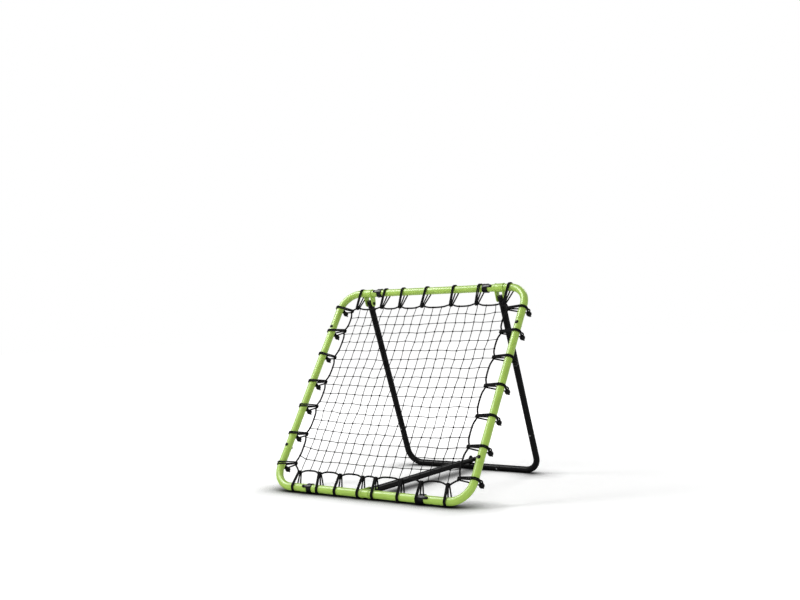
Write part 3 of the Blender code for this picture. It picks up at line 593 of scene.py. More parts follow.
class Solid:
    """The mesh of one piece, put together from shapes that bmesh's operators make."""

    WRAP = "wrap"

    def __init__(self) -> None:
        """Starts with nothing."""
        self.bm = self.blank()

    @classmethod
    def blank(cls) -> bmesh.types.BMesh:
        """Opens an empty mesh with a wrap map.

        Returns:
            The mesh.
        """
        made = bmesh.new()
        made.loops.layers.uv.new(cls.WRAP)
        return made

    def take(self, part: bmesh.types.BMesh, place: Matrix) -> None:
        """Adds a finished shape.

        Args:
            part: The shape, which is used up.
            place: Matrix from its axes to the row's.
        """
        bmesh.ops.remove_doubles(part, verts=part.verts, dist=MERGE)
        bmesh.ops.recalc_face_normals(part, faces=part.faces)
        part.transform(place)
        mesh = bpy.data.meshes.new("shape")
        part.to_mesh(mesh)
        part.free()
        self.bm.from_mesh(mesh)
        bpy.data.meshes.remove(mesh)

    def lathe(self, profile: Points, place: Matrix, steps: int = 40, ring: bool = False) -> None:
        """Spins a profile about the Z axis of its place.

        Args:
            profile: Radius and height of each point.
            place: Where the axis lies.
            steps: Facets round the axis.
            ring: Whether the profile closes on itself, off the axis.
        """
        part = self.blank()
        verts = [part.verts.new((radius, 0.0, height)) for radius, height in profile]
        pairs = list(zip(verts, verts[1:]))
        if ring:
            pairs.append((verts[-1], verts[0]))
        edges = [part.edges.new(pair) for pair in pairs]
        bmesh.ops.spin(part, geom=verts + edges, cent=(0, 0, 0), axis=(0, 0, 1), angle=2 * math.pi, steps=steps,
                       use_merge=True)
        self.take(part, place)

    def bar(self, route: Sequence[Vector], radii: Sequence[float], place: Matrix, sides: int = 8,
            closed: bool = False) -> None:
        """A round bar or cord along a route, with its wrap map in turns and metres.

        Args:
            route: Points of the centre line.
            radii: The radius at each of them.
            place: Matrix from the route's axes to the row's.
            sides: Facets round the bar.
            closed: Whether its ends join.
        """
        part = self.blank()
        frames = [turn @ Matrix.Diagonal((radius, radius, radius, 1.0))
                  for turn, radius in zip(carried_frames(route, closed), radii)]
        bmesh.ops.create_circle(part, segments=sides, radius=1.0, matrix=frames[0])
        ring, edges = list(part.verts), list(part.edges)
        first = edges
        spots = {vert: (side, 0) for side, vert in enumerate(ring)}
        for number in range(1, len(route)):
            step = frames[number] @ frames[number - 1].inverted()
            made = bmesh.ops.extrude_edge_only(part, edges=edges)["geom"]
            fresh = {item for item in made if isinstance(item, bmesh.types.BMVert)}
            for vert in fresh:
                source = next(edge.other_vert(vert) for edge in vert.link_edges if edge.other_vert(vert) not in fresh)
                spots[vert] = (spots[source][0], number)
            edges = [item for item in made if isinstance(item, bmesh.types.BMEdge) and set(item.verts) <= fresh]
            bmesh.ops.transform(part, matrix=step, verts=list(fresh))
        if closed:
            bmesh.ops.bridge_loops(part, edges=first + edges)
        else:
            for rim in (first, edges):
                bmesh.ops.edgeloop_fill(part, edges=rim)
        self._map_wrap(part, spots, route, sides)
        self.take(part, place)

    @classmethod
    def _map_wrap(cls, part: bmesh.types.BMesh, spots: dict, route: Sequence[Vector], sides: int) -> None:
        """Writes turns round the bar and metres along it into the wrap map.

        Args:
            part: The bar.
            spots: Each point's number round the bar and along it.
            route: Its centre line.
            sides: Facets round it.
        """
        wrap = part.loops.layers.uv[cls.WRAP]
        lengths = [0.0]
        for before, after in zip(route, list(route[1:]) + [route[0]]):
            lengths.append(lengths[-1] + (after - before).length)
        last = len(route) - 1
        for face in part.faces:
            places = [spots[loop.vert] for loop in face.loops]
            round_end = {side for side, _ in places} >= {0, sides - 1}
            long_end = {number for _, number in places} >= {0, last} and last > 1
            for loop, (side, number) in zip(face.loops, places):
                side = sides if round_end and side == 0 else side
                number = last + 1 if long_end and number == 0 else number
                loop[wrap].uv = (side / sides, lengths[number])

    def plate(self, outline: Points, thickness: float, place: Matrix, rounding: float) -> None:
        """A flat plate in the XY plane of its place, with rounded rims.

        Args:
            outline: Its corners in order.
            thickness: Along Z, half to either side of the plane.
            place: Where it lies.
            rounding: Radius of the rims.
        """
        part = self.blank()
        face = part.faces.new([part.verts.new((x, y, -thickness / 2)) for x, y in outline])
        made = bmesh.ops.extrude_face_region(part, geom=[face])["geom"]
        top = [item for item in made if isinstance(item, bmesh.types.BMVert)]
        bmesh.ops.translate(part, vec=(0, 0, thickness), verts=top)
        rims = [edge for edge in part.edges if abs(edge.verts[0].co.z - edge.verts[1].co.z) < thickness / 2]
        bmesh.ops.bevel(part, geom=rims, offset=rounding, segments=3, affect="EDGES", profile=0.5, material=-1)
        self.take(part, place)

    def weld(self, radius: float, size: float, place: Matrix, steps: int) -> None:
        """A bead of weld, size metres thick, round a tube of that radius about Z of its place."""
        self.lathe(arc((radius, 0.0), size, 0.0, 2 * math.pi, 9)[:-1], place, steps, ring=True)

    def bead(self, size: Vector, place: Matrix, around: int = 6, along: int = 4) -> None:
        """A small rounded lump, such as a knot.

        Args:
            size: Its three half sizes.
            place: Where it lies.
            around: Facets round its Z.
            along: Facets from pole to pole.
        """
        part = self.blank()
        bmesh.ops.create_uvsphere(part, u_segments=around, v_segments=along, radius=1.0)
        part.transform(Matrix.Diagonal((*size, 1.0)))
        self.take(part, place)

    def dress(self, name: str, finish: Finish, body: Body, replaces: Sequence[str] = (),
              sharp: float = 38.0) -> bpy.types.Object:
        """Turns the mesh into a finished piece.

        Args:
            name: The piece's name.
            finish: What it is made of.
            body: What it rides on.
            replaces: The CAD nodes that it stands for.
            sharp: Angle in degrees above which an edge stays sharp.

        Returns:
            The piece.
        """
        mesh = bpy.data.meshes.new(name)
        self.bm.to_mesh(mesh)
        self.bm.free()
        mesh.shade_smooth()
        mesh.set_sharp_from_angle(angle=math.radians(sharp))
        piece = linked(name, mesh)
        mesh.materials.append(finish.material())
        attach(piece, body.value)
        if replaces:
            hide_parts(*replaces)
        LOG.info("%s: %s on %s, %d faces", name, finish.name, body.value, len(mesh.polygons))
        return piece


def drill(piece: bpy.types.Object, places: Iterable[Matrix], radius: float, depth: float) -> None:
    """Bores round holes into a piece.

    Args:
        piece: What is drilled. Its mesh is changed for good.
        places: The holes' middles, with Z along each hole.
        radius: Of the holes.
        depth: Length of the drill.
    """
    bits = Solid()
    for place in places:
        bits.lathe([(0.0, -depth / 2), (radius, -depth / 2), (radius, depth / 2), (0.0, depth / 2)], place, 24)
    mesh = bpy.data.meshes.new("bits")
    bits.bm.to_mesh(mesh)
    bits.bm.free()
    tool = linked("bits", mesh)
    cut = piece.modifiers.new("holes", "BOOLEAN")
    cut.operation = "DIFFERENCE"
    cut.solver = "EXACT"
    cut.object = tool
    drilled = bpy.data.meshes.new_from_object(piece.evaluated_get(bpy.context.evaluated_depsgraph_get()))
    piece.modifiers.clear()
    piece.data = drilled
    bpy.data.objects.remove(tool)


def rounded(outer: float, low: float, high: float, edge: float, inner: float = 0.0) -> Points:
    """Profile of a turned piece from low to high, its outer rims rounded and its long sides held straight.

    Args:
        outer: Its outer radius.
        low: Its lower end.
        high: Its upper end.
        edge: Radius of the rims.
        inner: Radius of its bore, or none.

    Returns:
        The profile, from the axis or bore round the outside and back.
    """
    lower = arc((outer - edge, low + edge), edge, -QUARTER, 0.0, 4)
    upper = arc((outer - edge, high - edge), edge, 0.0, QUARTER, 4)
    hold = [(outer, low + edge + HOLD), (outer, high - edge - HOLD)] if high - low > 20 * HOLD else []
    return [(inner, low)] + lower + hold + upper + [(inner, high)]


def strap(first: Vector, first_radius: float, second: Vector, second_radius: float, steps: int = 14) -> Points:
    """Outline of a strap with a round end about each of two points.

    Args:
        first: The one point.
        first_radius: Radius of the end about it.
        second: The other point.
        second_radius: Radius of the end about it.
        steps: Facets of each end.

    Returns:
        The outline's points in order.
    """
    way = second - first
    heading = math.atan2(way.y, way.x)
    spread = math.acos((first_radius - second_radius) / way.length)
    return (arc(first, first_radius, heading + spread, heading - spread + 2 * math.pi, steps + 1)
            + arc(second, second_radius, heading - spread, heading + spread, steps + 1))


@dataclass(frozen=True)
class BentTube:
    """A tube that is bent through a right angle, with a swaged spigot at both ends."""

    radius: float
    wall: float
    bend: float
    spigot: float
    lip: float
    steps: int
    chamfer: float = 0.001
    shoulder: float = 0.0002

    def route(self, corner: Vector, ways: Sequence[Vector],
              joints: Sequence[float]) -> tuple[list[Vector], list[float]]:
        """Centre line and radii, from one spigot's end to the other's.

        Args:
            corner: Where the lines of its two straight stretches meet.
            ways: The directions of the two stretches from there.
            joints: The distances from there at which their spigots start.

        Returns:
            The points of the centre line, and the radius at each.
        """
        neck = self.radius - self.wall - FIT
        ends = [(self.spigot, neck - self.chamfer), (self.spigot - self.chamfer, neck), (self.shoulder, neck),
                (0.0, self.radius - self.lip), (-self.lip, self.radius)]
        first, second = ways
        centre = corner + self.bend * (first + second)
        points = [corner + first * (joints[0] + past) for past, _ in ends]
        for angle in np.linspace(0.0, QUARTER, self.steps + 1):
            points.append(centre - self.bend * (second * math.cos(angle) + first * math.sin(angle)))
        points += [corner + second * (joints[1] + past) for past, _ in reversed(ends)]
        radii = [radius for _, radius in ends]
        return points, radii + [self.radius] * (self.steps + 1) + radii[::-1]


@dataclass
class SocketBolt:
    """A button-head bolt with a hexagon socket, a washer under both ends, and a domed nut.

    Reach is from its middle to the faces that it clamps. Key and washer_size are shares of the head's radius.
    """

    shank: float
    head: float
    reach: float
    height: float = 0.004
    nut: float = 0.0042
    washer: float = 0.0010
    washer_size: float = 1.12
    key: float = 0.36
    overlap: float = 0.0005

    def add_to(self, solid: Solid, place: Matrix) -> None:
        """Adds the bolt.

        Args:
            solid: What it is added to.
            place: Where its middle lies. Its head faces Z.
        """
        head, base = self.head / 2, self.reach + self.washer
        dome = arc((0.0, base), head, 0.0, QUARTER * 6 / 7, 7, self.height - 0.001)
        key, top = head * self.key, dome[-1][1]
        socket = [(key * 1.25, top + 0.0001), (key, top - 0.0002), (key * 0.96, top - 0.0016), (0.0, top - 0.0019)]
        foot = base - self.overlap
        solid.lathe([(0.0, foot), (head, foot)] + dome + socket, place, 24)
        solid.lathe(rounded(self.shank / 2, -self.reach, self.reach, 0.0001), place, 20)
        for low, high in ((self.reach - 0.0001, base), (-base, -self.reach + 0.0001)):
            solid.lathe(rounded(head * self.washer_size, low, high, 0.0003), place, 28)
        wide, flat = head * 0.98, -base - self.nut * 0.5
        flats = [(0.0, -foot), (wide, -foot), (wide, flat + 0.0005), (wide * 0.86, flat), (0.0, flat)]
        solid.lathe(flats, place, 6)
        seat = (0.0, flat + 0.0002)
        solid.lathe([seat] + arc(seat, wide * 0.74, 0.0, QUARTER, 7, -self.nut * 0.5), place, 20)


@dataclass
class MainFrame:
    """The four corner tubes, rails and stiles, with the forks that are welded to them."""

    layout: Layout
    wall: float = 0.0015
    bend: float = 0.090
    bend_steps: int = 20
    facets: int = 48
    lip: float = 0.0006
    hinge_nose: float = 0.014
    arm_nose: float = 0.013
    cheek_rim: float = 0.0009
    grip: float = 0.0008
    bead: float = 0.0016

    def build_corners(self) -> None:
        """The four bent corner tubes."""
        lay = self.layout
        tube = BentTube(lay.radius, self.wall, self.bend, lay.spigot, self.lip, self.bend_steps)
        for level, up_way, height in (("bottom", 1, 0.0), ("top", -1, 2 * lay.half)):
            for side, way in SIDES:
                ways = Vector((-way, 0, 0)), Vector((0, 0, up_way))
                line, radii = tube.route(Vector((way * lay.half, 0, height)), ways, (lay.rail_joint, lay.stile_joint))
                solid = Solid()
                solid.bar(line, radii, lay.plane, self.facets)
                name = f"{level}_{side}_corner"
                solid.dress(name, GREEN, Body.FRAME, [f"{name}_tube"])

    def build_straights(self) -> None:
        """The rails and stiles."""
        lay = self.layout
        rail = lay.half - lay.rail_joint - 2 * FIT
        stile = lay.half - lay.stile_joint - 2 * FIT
        bore = lay.radius - self.wall
        for name, length, place in (
            ("top_rail", rail, at(lay.plane, (0, 0, 2 * lay.half), ABOUT_X)),
            ("bottom_rail", rail, lay.plane @ ABOUT_X),
            ("left_stile", stile, at(lay.plane, (-lay.half, 0, lay.half))),
            ("right_stile", stile, at(lay.plane, (lay.half, 0, lay.half))),
        ):
            solid = Solid()
            solid.lathe(rounded(lay.radius, -length, length, self.lip, bore), place, self.facets, ring=True)
            solid.dress(f"{name}_tube", GREEN, Body.FRAME, [name])

    def build_forks(self) -> None:
        """The hinge forks on their saddles, and the arm's fork on the bottom rail."""
        lay = self.layout
        up = 2 * lay.half
        pivot = Vector((lay.hinge_back, lay.hinge_up))
        outer = lay.radius + lay.saddle
        half = lay.hinge_gap / 2 + lay.cheek / 2
        for side, way in SIDES:
            solid = Solid()
            x = way * lay.hinge_x
            outline = strap(Vector((0, up)), outer + self.grip, pivot, self.hinge_nose)
            self.add_cheeks(solid, outline, lay.hinge_gap, at(lay.plane, (x, 0, 0)), up, outer * 0.98)
            saddle = rounded(outer, -half, half, self.lip, lay.radius + 0.0001)
            solid.lathe(saddle, at(lay.plane, (x, 0, up), ABOUT_X), self.facets, ring=True)
            solid.dress(f"{side}_hinge_fork", GREEN, Body.FRAME, [f"top_{side}_corner_tube"])
        solid = Solid()
        pivot = Vector((lay.arm_front_back, lay.arm_front_up))
        outline = strap(Vector((0, 0)), outer, pivot, self.arm_nose)
        self.add_cheeks(solid, outline, lay.arm_gap, at(lay.plane, (lay.arm_x, 0, 0)), 0.0, lay.radius + 0.001)
        solid.dress("arm_front_fork", GREEN, Body.FRAME, ["bottom_rail"])

    def add_cheeks(self, solid: Solid, outline: Points, gap: float, middle: Matrix, up: float, seat: float) -> None:
        """Two cheeks across X, each with a bead of weld round the tube outside it.

        Args:
            solid: What they are added to.
            outline: Of a cheek, as (behind, up).
            gap: Between them.
            middle: Where they stand.
            up: Height of the tube's centre line.
            seat: Radius of the beads.
        """
        cheek = self.layout.cheek
        for side in (-1, 1):
            solid.plate(outline, cheek, at(middle, (side * (gap + cheek) / 2, 0, 0), ON_EDGE), self.cheek_rim)
            place = at(middle, (side * (gap / 2 + cheek), 0, up), ABOUT_X)
            solid.weld(seat, self.bead, place, self.facets)

    def build(self) -> None:
        """Builds all of it."""
        self.build_corners()
        self.build_straights()
        self.build_forks()


@dataclass
class FrameFittings:
    """The clamp collars at the rail joints, and the bolts of the frame."""

    layout: Layout
    collar: float = 0.025
    thickness: float = 0.003
    collar_rim: float = 0.0012
    rib_width: float = 0.0024
    rib_height: float = 0.0006
    tongue_width: float = 0.012
    tongue_length: float = 0.021
    tongue_depth: float = 0.0092
    tongue_proud: float = 0.0004
    screw: float = 0.010
    bolt_head: float = 0.014
    bore: float = 0.01672

    def build_collars(self) -> None:
        """Four collars, each with a tongue towards the corner and a screw in it."""
        lay = self.layout
        outer, half = self.bore + self.thickness, self.collar / 2
        nose, ribs = self.tongue_width / 2, half - self.thickness
        band = rounded(outer, -half, half, self.collar_rim, self.bore)
        rib = rounded(outer + self.rib_height, -self.rib_width / 2, self.rib_width / 2, 0.0005, outer - 0.001)
        face = self.tongue_proud + outer - self.tongue_depth / 2
        for level, height in (("bottom", 0.0), ("top", 2 * lay.half)):
            for side, way in SIDES:
                x = way * (lay.half - lay.rail_joint)
                end = way * (half + self.tongue_length - nose)
                solid = Solid()
                for shape, shift in ((band, 0.0), (rib, -ribs), (rib, ribs)):
                    solid.lathe(shape, at(lay.plane, (x + shift, 0, height), ABOUT_X), 48, ring=True)
                outline = strap(Vector((0, 0)), nose + 0.0001, Vector((end, 0)), nose, 8)
                place = at(lay.plane, (x, -face, height), ABOUT_FRONT)
                solid.plate(outline, self.tongue_depth, place, self.collar_rim)
                name = f"{level}_{side}_joint_collar"
                solid.dress(f"{name}_clamp", PLASTIC, Body.FRAME, [name])
                screw = Solid()
                bolt = SocketBolt(shank=0.005, head=self.screw, reach=outer + self.tongue_proud / 2, height=0.0028)
                bolt.add_to(screw, at(lay.plane, (x + end, 0, height), ABOUT_FRONT))
                screw.dress(f"{name}_screw", STEEL, Body.FRAME)

    def build_bolts(self) -> None:
        """The bolts through the stile joints, the hinge bolts and the arm's front bolt."""
        lay = self.layout
        up = lay.stile_joint + lay.spigot / 2
        for level, height in (("bottom", up), ("top", 2 * lay.half - up)):
            for side, way in SIDES:
                solid = Solid()
                bolt = SocketBolt(shank=0.006, head=self.bolt_head, reach=lay.radius, height=0.0042, nut=0.0090)
                bolt.add_to(solid, at(lay.plane, (way * lay.half, 0, height), ABOUT_FRONT))
                name = f"{level}_{side}_stile_bolt"
                solid.dress(f"{name}_set", STEEL, Body.FRAME, [name])
        for name, gap, spot in (
            ("left_hinge_bolt", lay.hinge_gap, (-lay.hinge_x, lay.hinge_back, lay.hinge_up)),
            ("right_hinge_bolt", lay.hinge_gap, (lay.hinge_x, lay.hinge_back, lay.hinge_up)),
            ("arm_front_bolt", lay.arm_gap, (lay.arm_x, lay.arm_front_back, lay.arm_front_up)),
        ):
            solid = Solid()
            bolt = SocketBolt(shank=lay.bolt, head=self.bolt_head, reach=gap / 2 + lay.cheek)
            bolt.add_to(solid, at(lay.plane, spot, ABOUT_X))
            solid.dress(f"{name}_set", STEEL, Body.FRAME, [name])

    def build(self) -> None:
        """Builds all of it."""
        self.build_collars()
        self.build_bolts()


@dataclass(frozen=True)
class Loop:
    """Where one bungee loop lies.

    Its places on the tube and on the rope are shares of half a side. The inset is the rope's, and the spread is half
    of the distance between the cord's two strands on the tube.
    """

    on_tube: float
    on_rope: float
    inset: float
    spread: float = 0.0033


LOOPS: dict[Side, tuple[Loop, ...]] = {
    Side.LEFT: (Loop(0.839, 0.806, 0.074), Loop(0.576, 0.585, 0.074), Loop(0.324, 0.298, 0.072),
                Loop(0.031, 0.037, 0.072), Loop(-0.225, -0.217, 0.073, 0.0046), Loop(-0.504, -0.496, 0.074, 0.0032),
                Loop(-0.802, -0.783, 0.074, 0.0048)),
    Side.RIGHT: (Loop(0.779, 0.779, 0.067), Loop(0.543, 0.543, 0.068), Loop(0.295, 0.295, 0.068),
                 Loop(0.025, 0.025, 0.068), Loop(-0.256, -0.256, 0.067), Loop(-0.529, -0.529, 0.067),
                 Loop(-0.804, -0.804, 0.067)),
    Side.TOP: (Loop(-0.787, -0.791, 0.077, 0.0034), Loop(-0.508, -0.508, 0.076), Loop(-0.308, -0.298, 0.077),
               Loop(-0.043, -0.052, 0.078), Loop(0.254, 0.260, 0.077), Loop(0.521, 0.525, 0.076, 0.0042),
               Loop(0.820, 0.806, 0.077)),
    Side.BOTTOM: (Loop(-0.756, -0.762, 0.065), Loop(-0.488, -0.535, 0.066), Loop(-0.293, -0.310, 0.066),
                  Loop(-0.052, -0.068, 0.065), Loop(0.098, 0.066, 0.065), Loop(0.353, 0.329, 0.065),
                  Loop(0.539, 0.520, 0.065), Loop(0.806, 0.775, 0.065)),
}


@dataclass(frozen=True)
class BallSeat:
    """How a side's balls hang: the neck as (outward, behind), and the way they point as (along, outward, behind)."""

    neck: tuple[float, float]
    way: tuple[float, float, float]


BALL_SEATS: dict[Side, BallSeat] = {
    Side.LEFT: BallSeat((-0.0068, 0.0220), (-0.40, -0.15, 0.90)),
    Side.RIGHT: BallSeat((0.0115, 0.0228), (-0.30, 0.05, 0.95)),
    Side.TOP: BallSeat((0.0080, 0.0225), (0.30, 0.60, 0.75)),
    Side.BOTTOM: BallSeat((-0.0060, 0.0225), (0.20, -0.65, 0.72)),
}


class CordPoint(NamedTuple):
    """A point of a loop's cord. Share is how far it is on the way from the loop's place on the tube to the rope's.

    Along and aside are added to that place. Outward and behind are from the tube's centre line.
    """

    share: float
    along: float
    aside: float
    outward: float
    behind: float
    radius: float


@dataclass
class BungeeLoops:
    """The ball-ended elastic loops. Each is one cord, doubled over the tube and hooked over its own ball's neck."""

    layout: Layout
    cord: float = 0.0063
    squeezed: float = 0.0058
    ball: float = 0.023
    stem_bend: float = 0.006
    knot: tuple[float, float, float] = (0.0033, 0.0030, 0.0022)
    tail: float = 0.0040

    @property
    def reach(self) -> float:
        """From a ball's neck to its middle."""
        return self.ball / 2 + 0.75 * self.cord

    def leave(self, seat: BallSeat) -> Vector:
        """Where the cord leaves the tube for the ball's neck.

        Args:
            seat: How the ball hangs.

        Returns:
            The point, as (outward, behind).
        """
        neck, ring = Vector(seat.neck), self.layout.radius + FIT + self.squeezed / 2
        angle = math.atan2(neck.y, neck.x) - math.acos(ring / neck.length)
        return Vector((ring * math.cos(angle), ring * math.sin(angle)))

    def outline(self, loop: Loop, seat: BallSeat) -> list[CordPoint]:
        """Half of a loop's route, from its ball over the tube and round the rope to the back of the neck.

        Args:
            loop: The loop's place.
            seat: How its ball hangs.

        Returns:
            The route's points. The other half is its mirror image, the other way round.
        """
        radius, pinch = self.cord / 2, self.cord * 0.52
        neck, leave = Vector((0.0, *seat.neck)), Vector((0.0, *self.leave(seat)))
        ring, turn = leave.length, self.layout.rope / 2 + radius
        way = Vector(seat.way).normalized()
        near, far = neck + way * self.stem_bend, neck + (leave - neck).normalized() * self.stem_bend
        stem = [neck + way * self.reach]
        stem += [near.lerp(neck, t).lerp(neck.lerp(far, t), t) for t in (0.0, 0.25, 0.5, 0.75, 1.0)]
        points = [CordPoint(0.0, spot.x, pinch, spot.y, spot.z, radius) for spot in stem]
        arrive = -math.pi + math.acos((ring - turn) / loop.inset)
        points += [CordPoint(0.0, 0.0, loop.spread, outward, behind, self.squeezed / 2)
                   for outward, behind in arc((0.0, 0.0), ring, math.atan2(leave.z, leave.y), arrive, 14)]
        points += [CordPoint(1.0, 0.0, pinch, outward, behind, radius)
                   for outward, behind in arc((-loop.inset, 0.0), turn, arrive, -3 * QUARTER, 8)]
        away, hook = (neck + Vector((0.0, loop.inset, 0.0))).normalized(), pinch + 2 * radius
        for aside, past in arc((0.0, 0.0), hook, 0.0, QUARTER, 6):
            spot = neck + away * past
            points.append(CordPoint(0.0, 0.0, aside, spot.y, spot.z, radius))
        return points

    def add_cord(self, cords: Solid, side: Side, loop: Loop, seat: BallSeat) -> None:
        """The closed cord of one loop.

        Args:
            cords: What it is added to.
            side: The loop's side of the net.
            loop: The loop's place.
            seat: How its ball hangs.
        """
        lay = self.layout
        points = self.outline(loop, seat)
        points += [point._replace(aside=-point.aside) for point in reversed(points[:-1])]
        tube, rope = loop.on_tube * lay.half, loop.on_rope * lay.half
        route = [lay.side_point(side, tube + (rope - tube) * point.share + point.along + point.aside, point.outward,
                                point.behind) for point in points]
        cords.bar(route, [point.radius for point in points], lay.plane, 10, closed=True)

    def add_ball(self, cords: Solid, balls: Solid, side: Side, loop: Loop, seat: BallSeat) -> None:
        """A drilled ball behind the tube, with the cord's knotted ends on its far side.

        Args:
            cords: What the knot and the ends are added to.
            balls: What the ball is added to.
            side: The loop's side of the net.
            loop: The loop's place.
            seat: How its ball hangs.
        """
        lay = self.layout
        along = loop.on_tube * lay.half
        way = Vector(seat.way).normalized() * self.reach
        neck = lay.side_point(side, along, *seat.neck)
        middle = lay.side_point(side, along + way.x, seat.neck[0] + way.y, seat.neck[1] + way.z)
        turn = (neck - middle).to_track_quat("Z", "Y").to_matrix().to_4x4()
        place = at(lay.plane, middle, turn)
        radius, hole = self.ball / 2, self.cord * 0.95
        opening = math.asin(hole / radius)
        shell = arc((0.0, 0.0), radius, QUARTER - opening, opening * 0.6 - QUARTER, 14)
        balls.lathe([(0.0, radius * 0.45), (hole * 0.9, radius * 0.5)] + shell
                    + [(hole * 0.5, -radius * 0.74), (0.0, -radius * 0.72)], place, 28)
        cords.bead(Vector(self.knot), at(place, (0.0004, 0, -radius)), 10, 6)
        for sign in (-1, 1):
            ends = [Vector((sign * apart, aside, -radius - self.tail * share))
                    for apart, aside, share in ((0.0012, 0.0, 0.0), (0.0020, 0.0004, 0.55), (0.0028, 0.0010, 1.0))]
            cords.bar(ends, [self.cord * 0.38] * len(ends), place, 8)

    def build(self) -> None:
        """Builds every loop with its ball."""
        for side, loops in LOOPS.items():
            for number, loop in enumerate(loops, 1):
                cords, balls = Solid(), Solid()
                self.add_cord(cords, side, loop, BALL_SEATS[side])
                self.add_ball(cords, balls, side, loop, BALL_SEATS[side])
                name = f"{side.value}_bungee_{number}"
                cords.dress(f"{name}_cord", CORD, Body.FRAME, [name], 60.0)
                balls.dress(f"{name}_ball", BALL_PLASTIC, Body.FRAME)


@dataclass
class NetPanel:
    """The knotted square-mesh net and the border rope that the loops pull out into points."""

    layout: Layout
    sag: float = 0.010
    flat: float = 0.005
    cells: int = 18
    twine: float = 0.0031
    belly: float = 0.003
    unevenness: float = 0.0016
    waviness: float = 0.0007
    sweeps: int = 600
    uneven_seed: int = 11
    wave_seed: int = 5
    knot_seed: int = 3

    def rope_nodes(self) -> list[list[Vector]]:
        """The rope's points inside each loop, anticlockwise from the front.

        Returns:
            One point for each loop, or two for a loop beside a corner.
        """
        lay = self.layout
        nodes = []
        for side, order in ((Side.BOTTOM, 1), (Side.RIGHT, -1), (Side.TOP, -1), (Side.LEFT, 1)):
            loops = LOOPS[side]
            way = order if side in (Side.BOTTOM, Side.TOP) else -order
            for loop in loops[::order]:
                beside_corner = loop in (loops[0], loops[-1])
                shifts = (-way * self.flat, way * self.flat) if beside_corner else (0.0,)
                nodes.append([lay.side_point(side, loop.on_rope * lay.half + shift, -loop.inset, 0.0)
                              for shift in shifts])
        return nodes

    def rope_route(self) -> list[Vector]:
        """The rope's smooth closed centre line.

        Returns:
            Its points in plane axes.
        """
        nodes = self.rope_nodes()
        centre = Vector((0.0, 0.0, self.layout.half))
        points = []
        for node, after in zip(nodes, nodes[1:] + nodes[:1]):
            start, stop = node[-1], after[0]
            way = stop - start
            inward = Vector((-way.z, 0.0, way.x)).normalized()
            if inward.dot(centre - start) < 0:
                inward = -inward
            corner = abs(way.x) > 2 * self.sag and abs(way.z) > 2 * self.sag
            sag = min(self.sag, 0.12 * way.length) * (0.3 if corner else 1.0)
            points += node + [start + way * share + inward * sag for share in (0.28, 0.72)]
        return self.smoothed(points, 6)

    @staticmethod
    def smoothed(points: Sequence[Vector], steps: int) -> list[Vector]:
        """A closed spline through points.

        Args:
            points: The points.
            steps: Steps from each to the next.

        Returns:
            The curve's points.
        """
        count = len(points)
        curve = []
        for number in range(count):
            before, here = points[number - 1], points[number]
            after, beyond = points[(number + 1) % count], points[(number + 2) % count]
            for step in range(steps):
                t = step / steps
                curve.append(0.5 * (2 * here + (after - before) * t
                                    + (2 * before - 5 * here + 4 * after - beyond) * t ** 2
                                    + (3 * here - before - 3 * after + beyond) * t ** 3))
        return curve

    def knots(self, rope: Sequence[Vector]) -> np.ndarray:
        """Places of the knots, with the net's ends on the rope, pulled even between them.

        Args:
            rope: The rope's centre line.

        Returns:
            An array of (row, column, 3) in plane axes. Its border lies on the rope.
        """
        line = np.array([(point.x, point.z - self.layout.half) for point in rope])
        corners = [int(np.argmax(line @ np.array(way))) for way in ((-1, -1), (1, -1), (1, 1), (-1, 1))]
        sides = []
        for start, stop in zip(corners, corners[1:] + corners[:1]):
            stop += len(line) if stop < start else 0
            sides.append(line[np.arange(start, stop + 1) % len(line)])
        count = self.cells + 1
        grid = np.zeros((count, count, 2))
        share = np.linspace(0.0, 1.0, count)
        for run, axis, cells in ((sides[0], 0, grid[0]), (sides[1], 1, grid[:, -1]),
                                 (sides[2][::-1], 0, grid[-1]), (sides[3][::-1], 1, grid[:, 0])):
            spots = run[0, axis] + (run[-1, axis] - run[0, axis]) * share
            cells[:, axis] = spots
            cells[:, 1 - axis] = np.interp(spots, run[:, axis], run[:, 1 - axis])
        s, t = share[None, :, None], share[:, None, None]
        grid[1:-1, 1:-1] = ((1 - t) * grid[0][None] + t * grid[-1][None])[1:-1, 1:-1]
        for _ in range(self.sweeps):
            grid[1:-1, 1:-1] = (grid[:-2, 1:-1] + grid[2:, 1:-1] + grid[1:-1, :-2] + grid[1:-1, 2:]) / 4
        uneven = np.random.default_rng(self.uneven_seed).normal(0.0, self.unevenness, (count, count, 3))
        uneven = (uneven + np.roll(uneven, 1, 0) + np.roll(uneven, 1, 1)) / 1.7
        behind = self.belly * np.sin(math.pi * s[..., 0]) * np.sin(math.pi * t[..., 0])
        places = np.stack([grid[..., 0], behind, grid[..., 1] + self.layout.half], -1)
        places[1:-1, 1:-1] += uneven[1:-1, 1:-1]
        return places

    def build_rope(self, rope: Sequence[Vector]) -> None:
        """The border rope.

        Args:
            rope: Its centre line.
        """
        solid = Solid()
        solid.bar(rope, [self.layout.rope / 2] * len(rope), self.layout.plane, 12, closed=True)
        solid.dress("net_border_rope", ROPE, Body.FRAME, ["border_rope"], 60.0)

    def build_twine(self, places: np.ndarray) -> None:
        """The mesh lines, a little wavy between their knots.

        Args:
            places: The knots' places.
        """
        solid = Solid()
        random = np.random.default_rng(self.wave_seed)
        for lines in (places, places.transpose(1, 0, 2)):
            for line in lines[1:-1]:
                route = [Vector(line[0])]
                for before, after in zip(line, line[1:]):
                    bow = random.normal(0.0, self.waviness, 3)
                    route += [Vector((before + after) / 2 + bow), Vector(after)]
                solid.bar(route, [self.twine / 2] * len(route), self.layout.plane, 6)
        solid.dress("net_twine", TWINE, Body.FRAME, ["net"], 70.0)

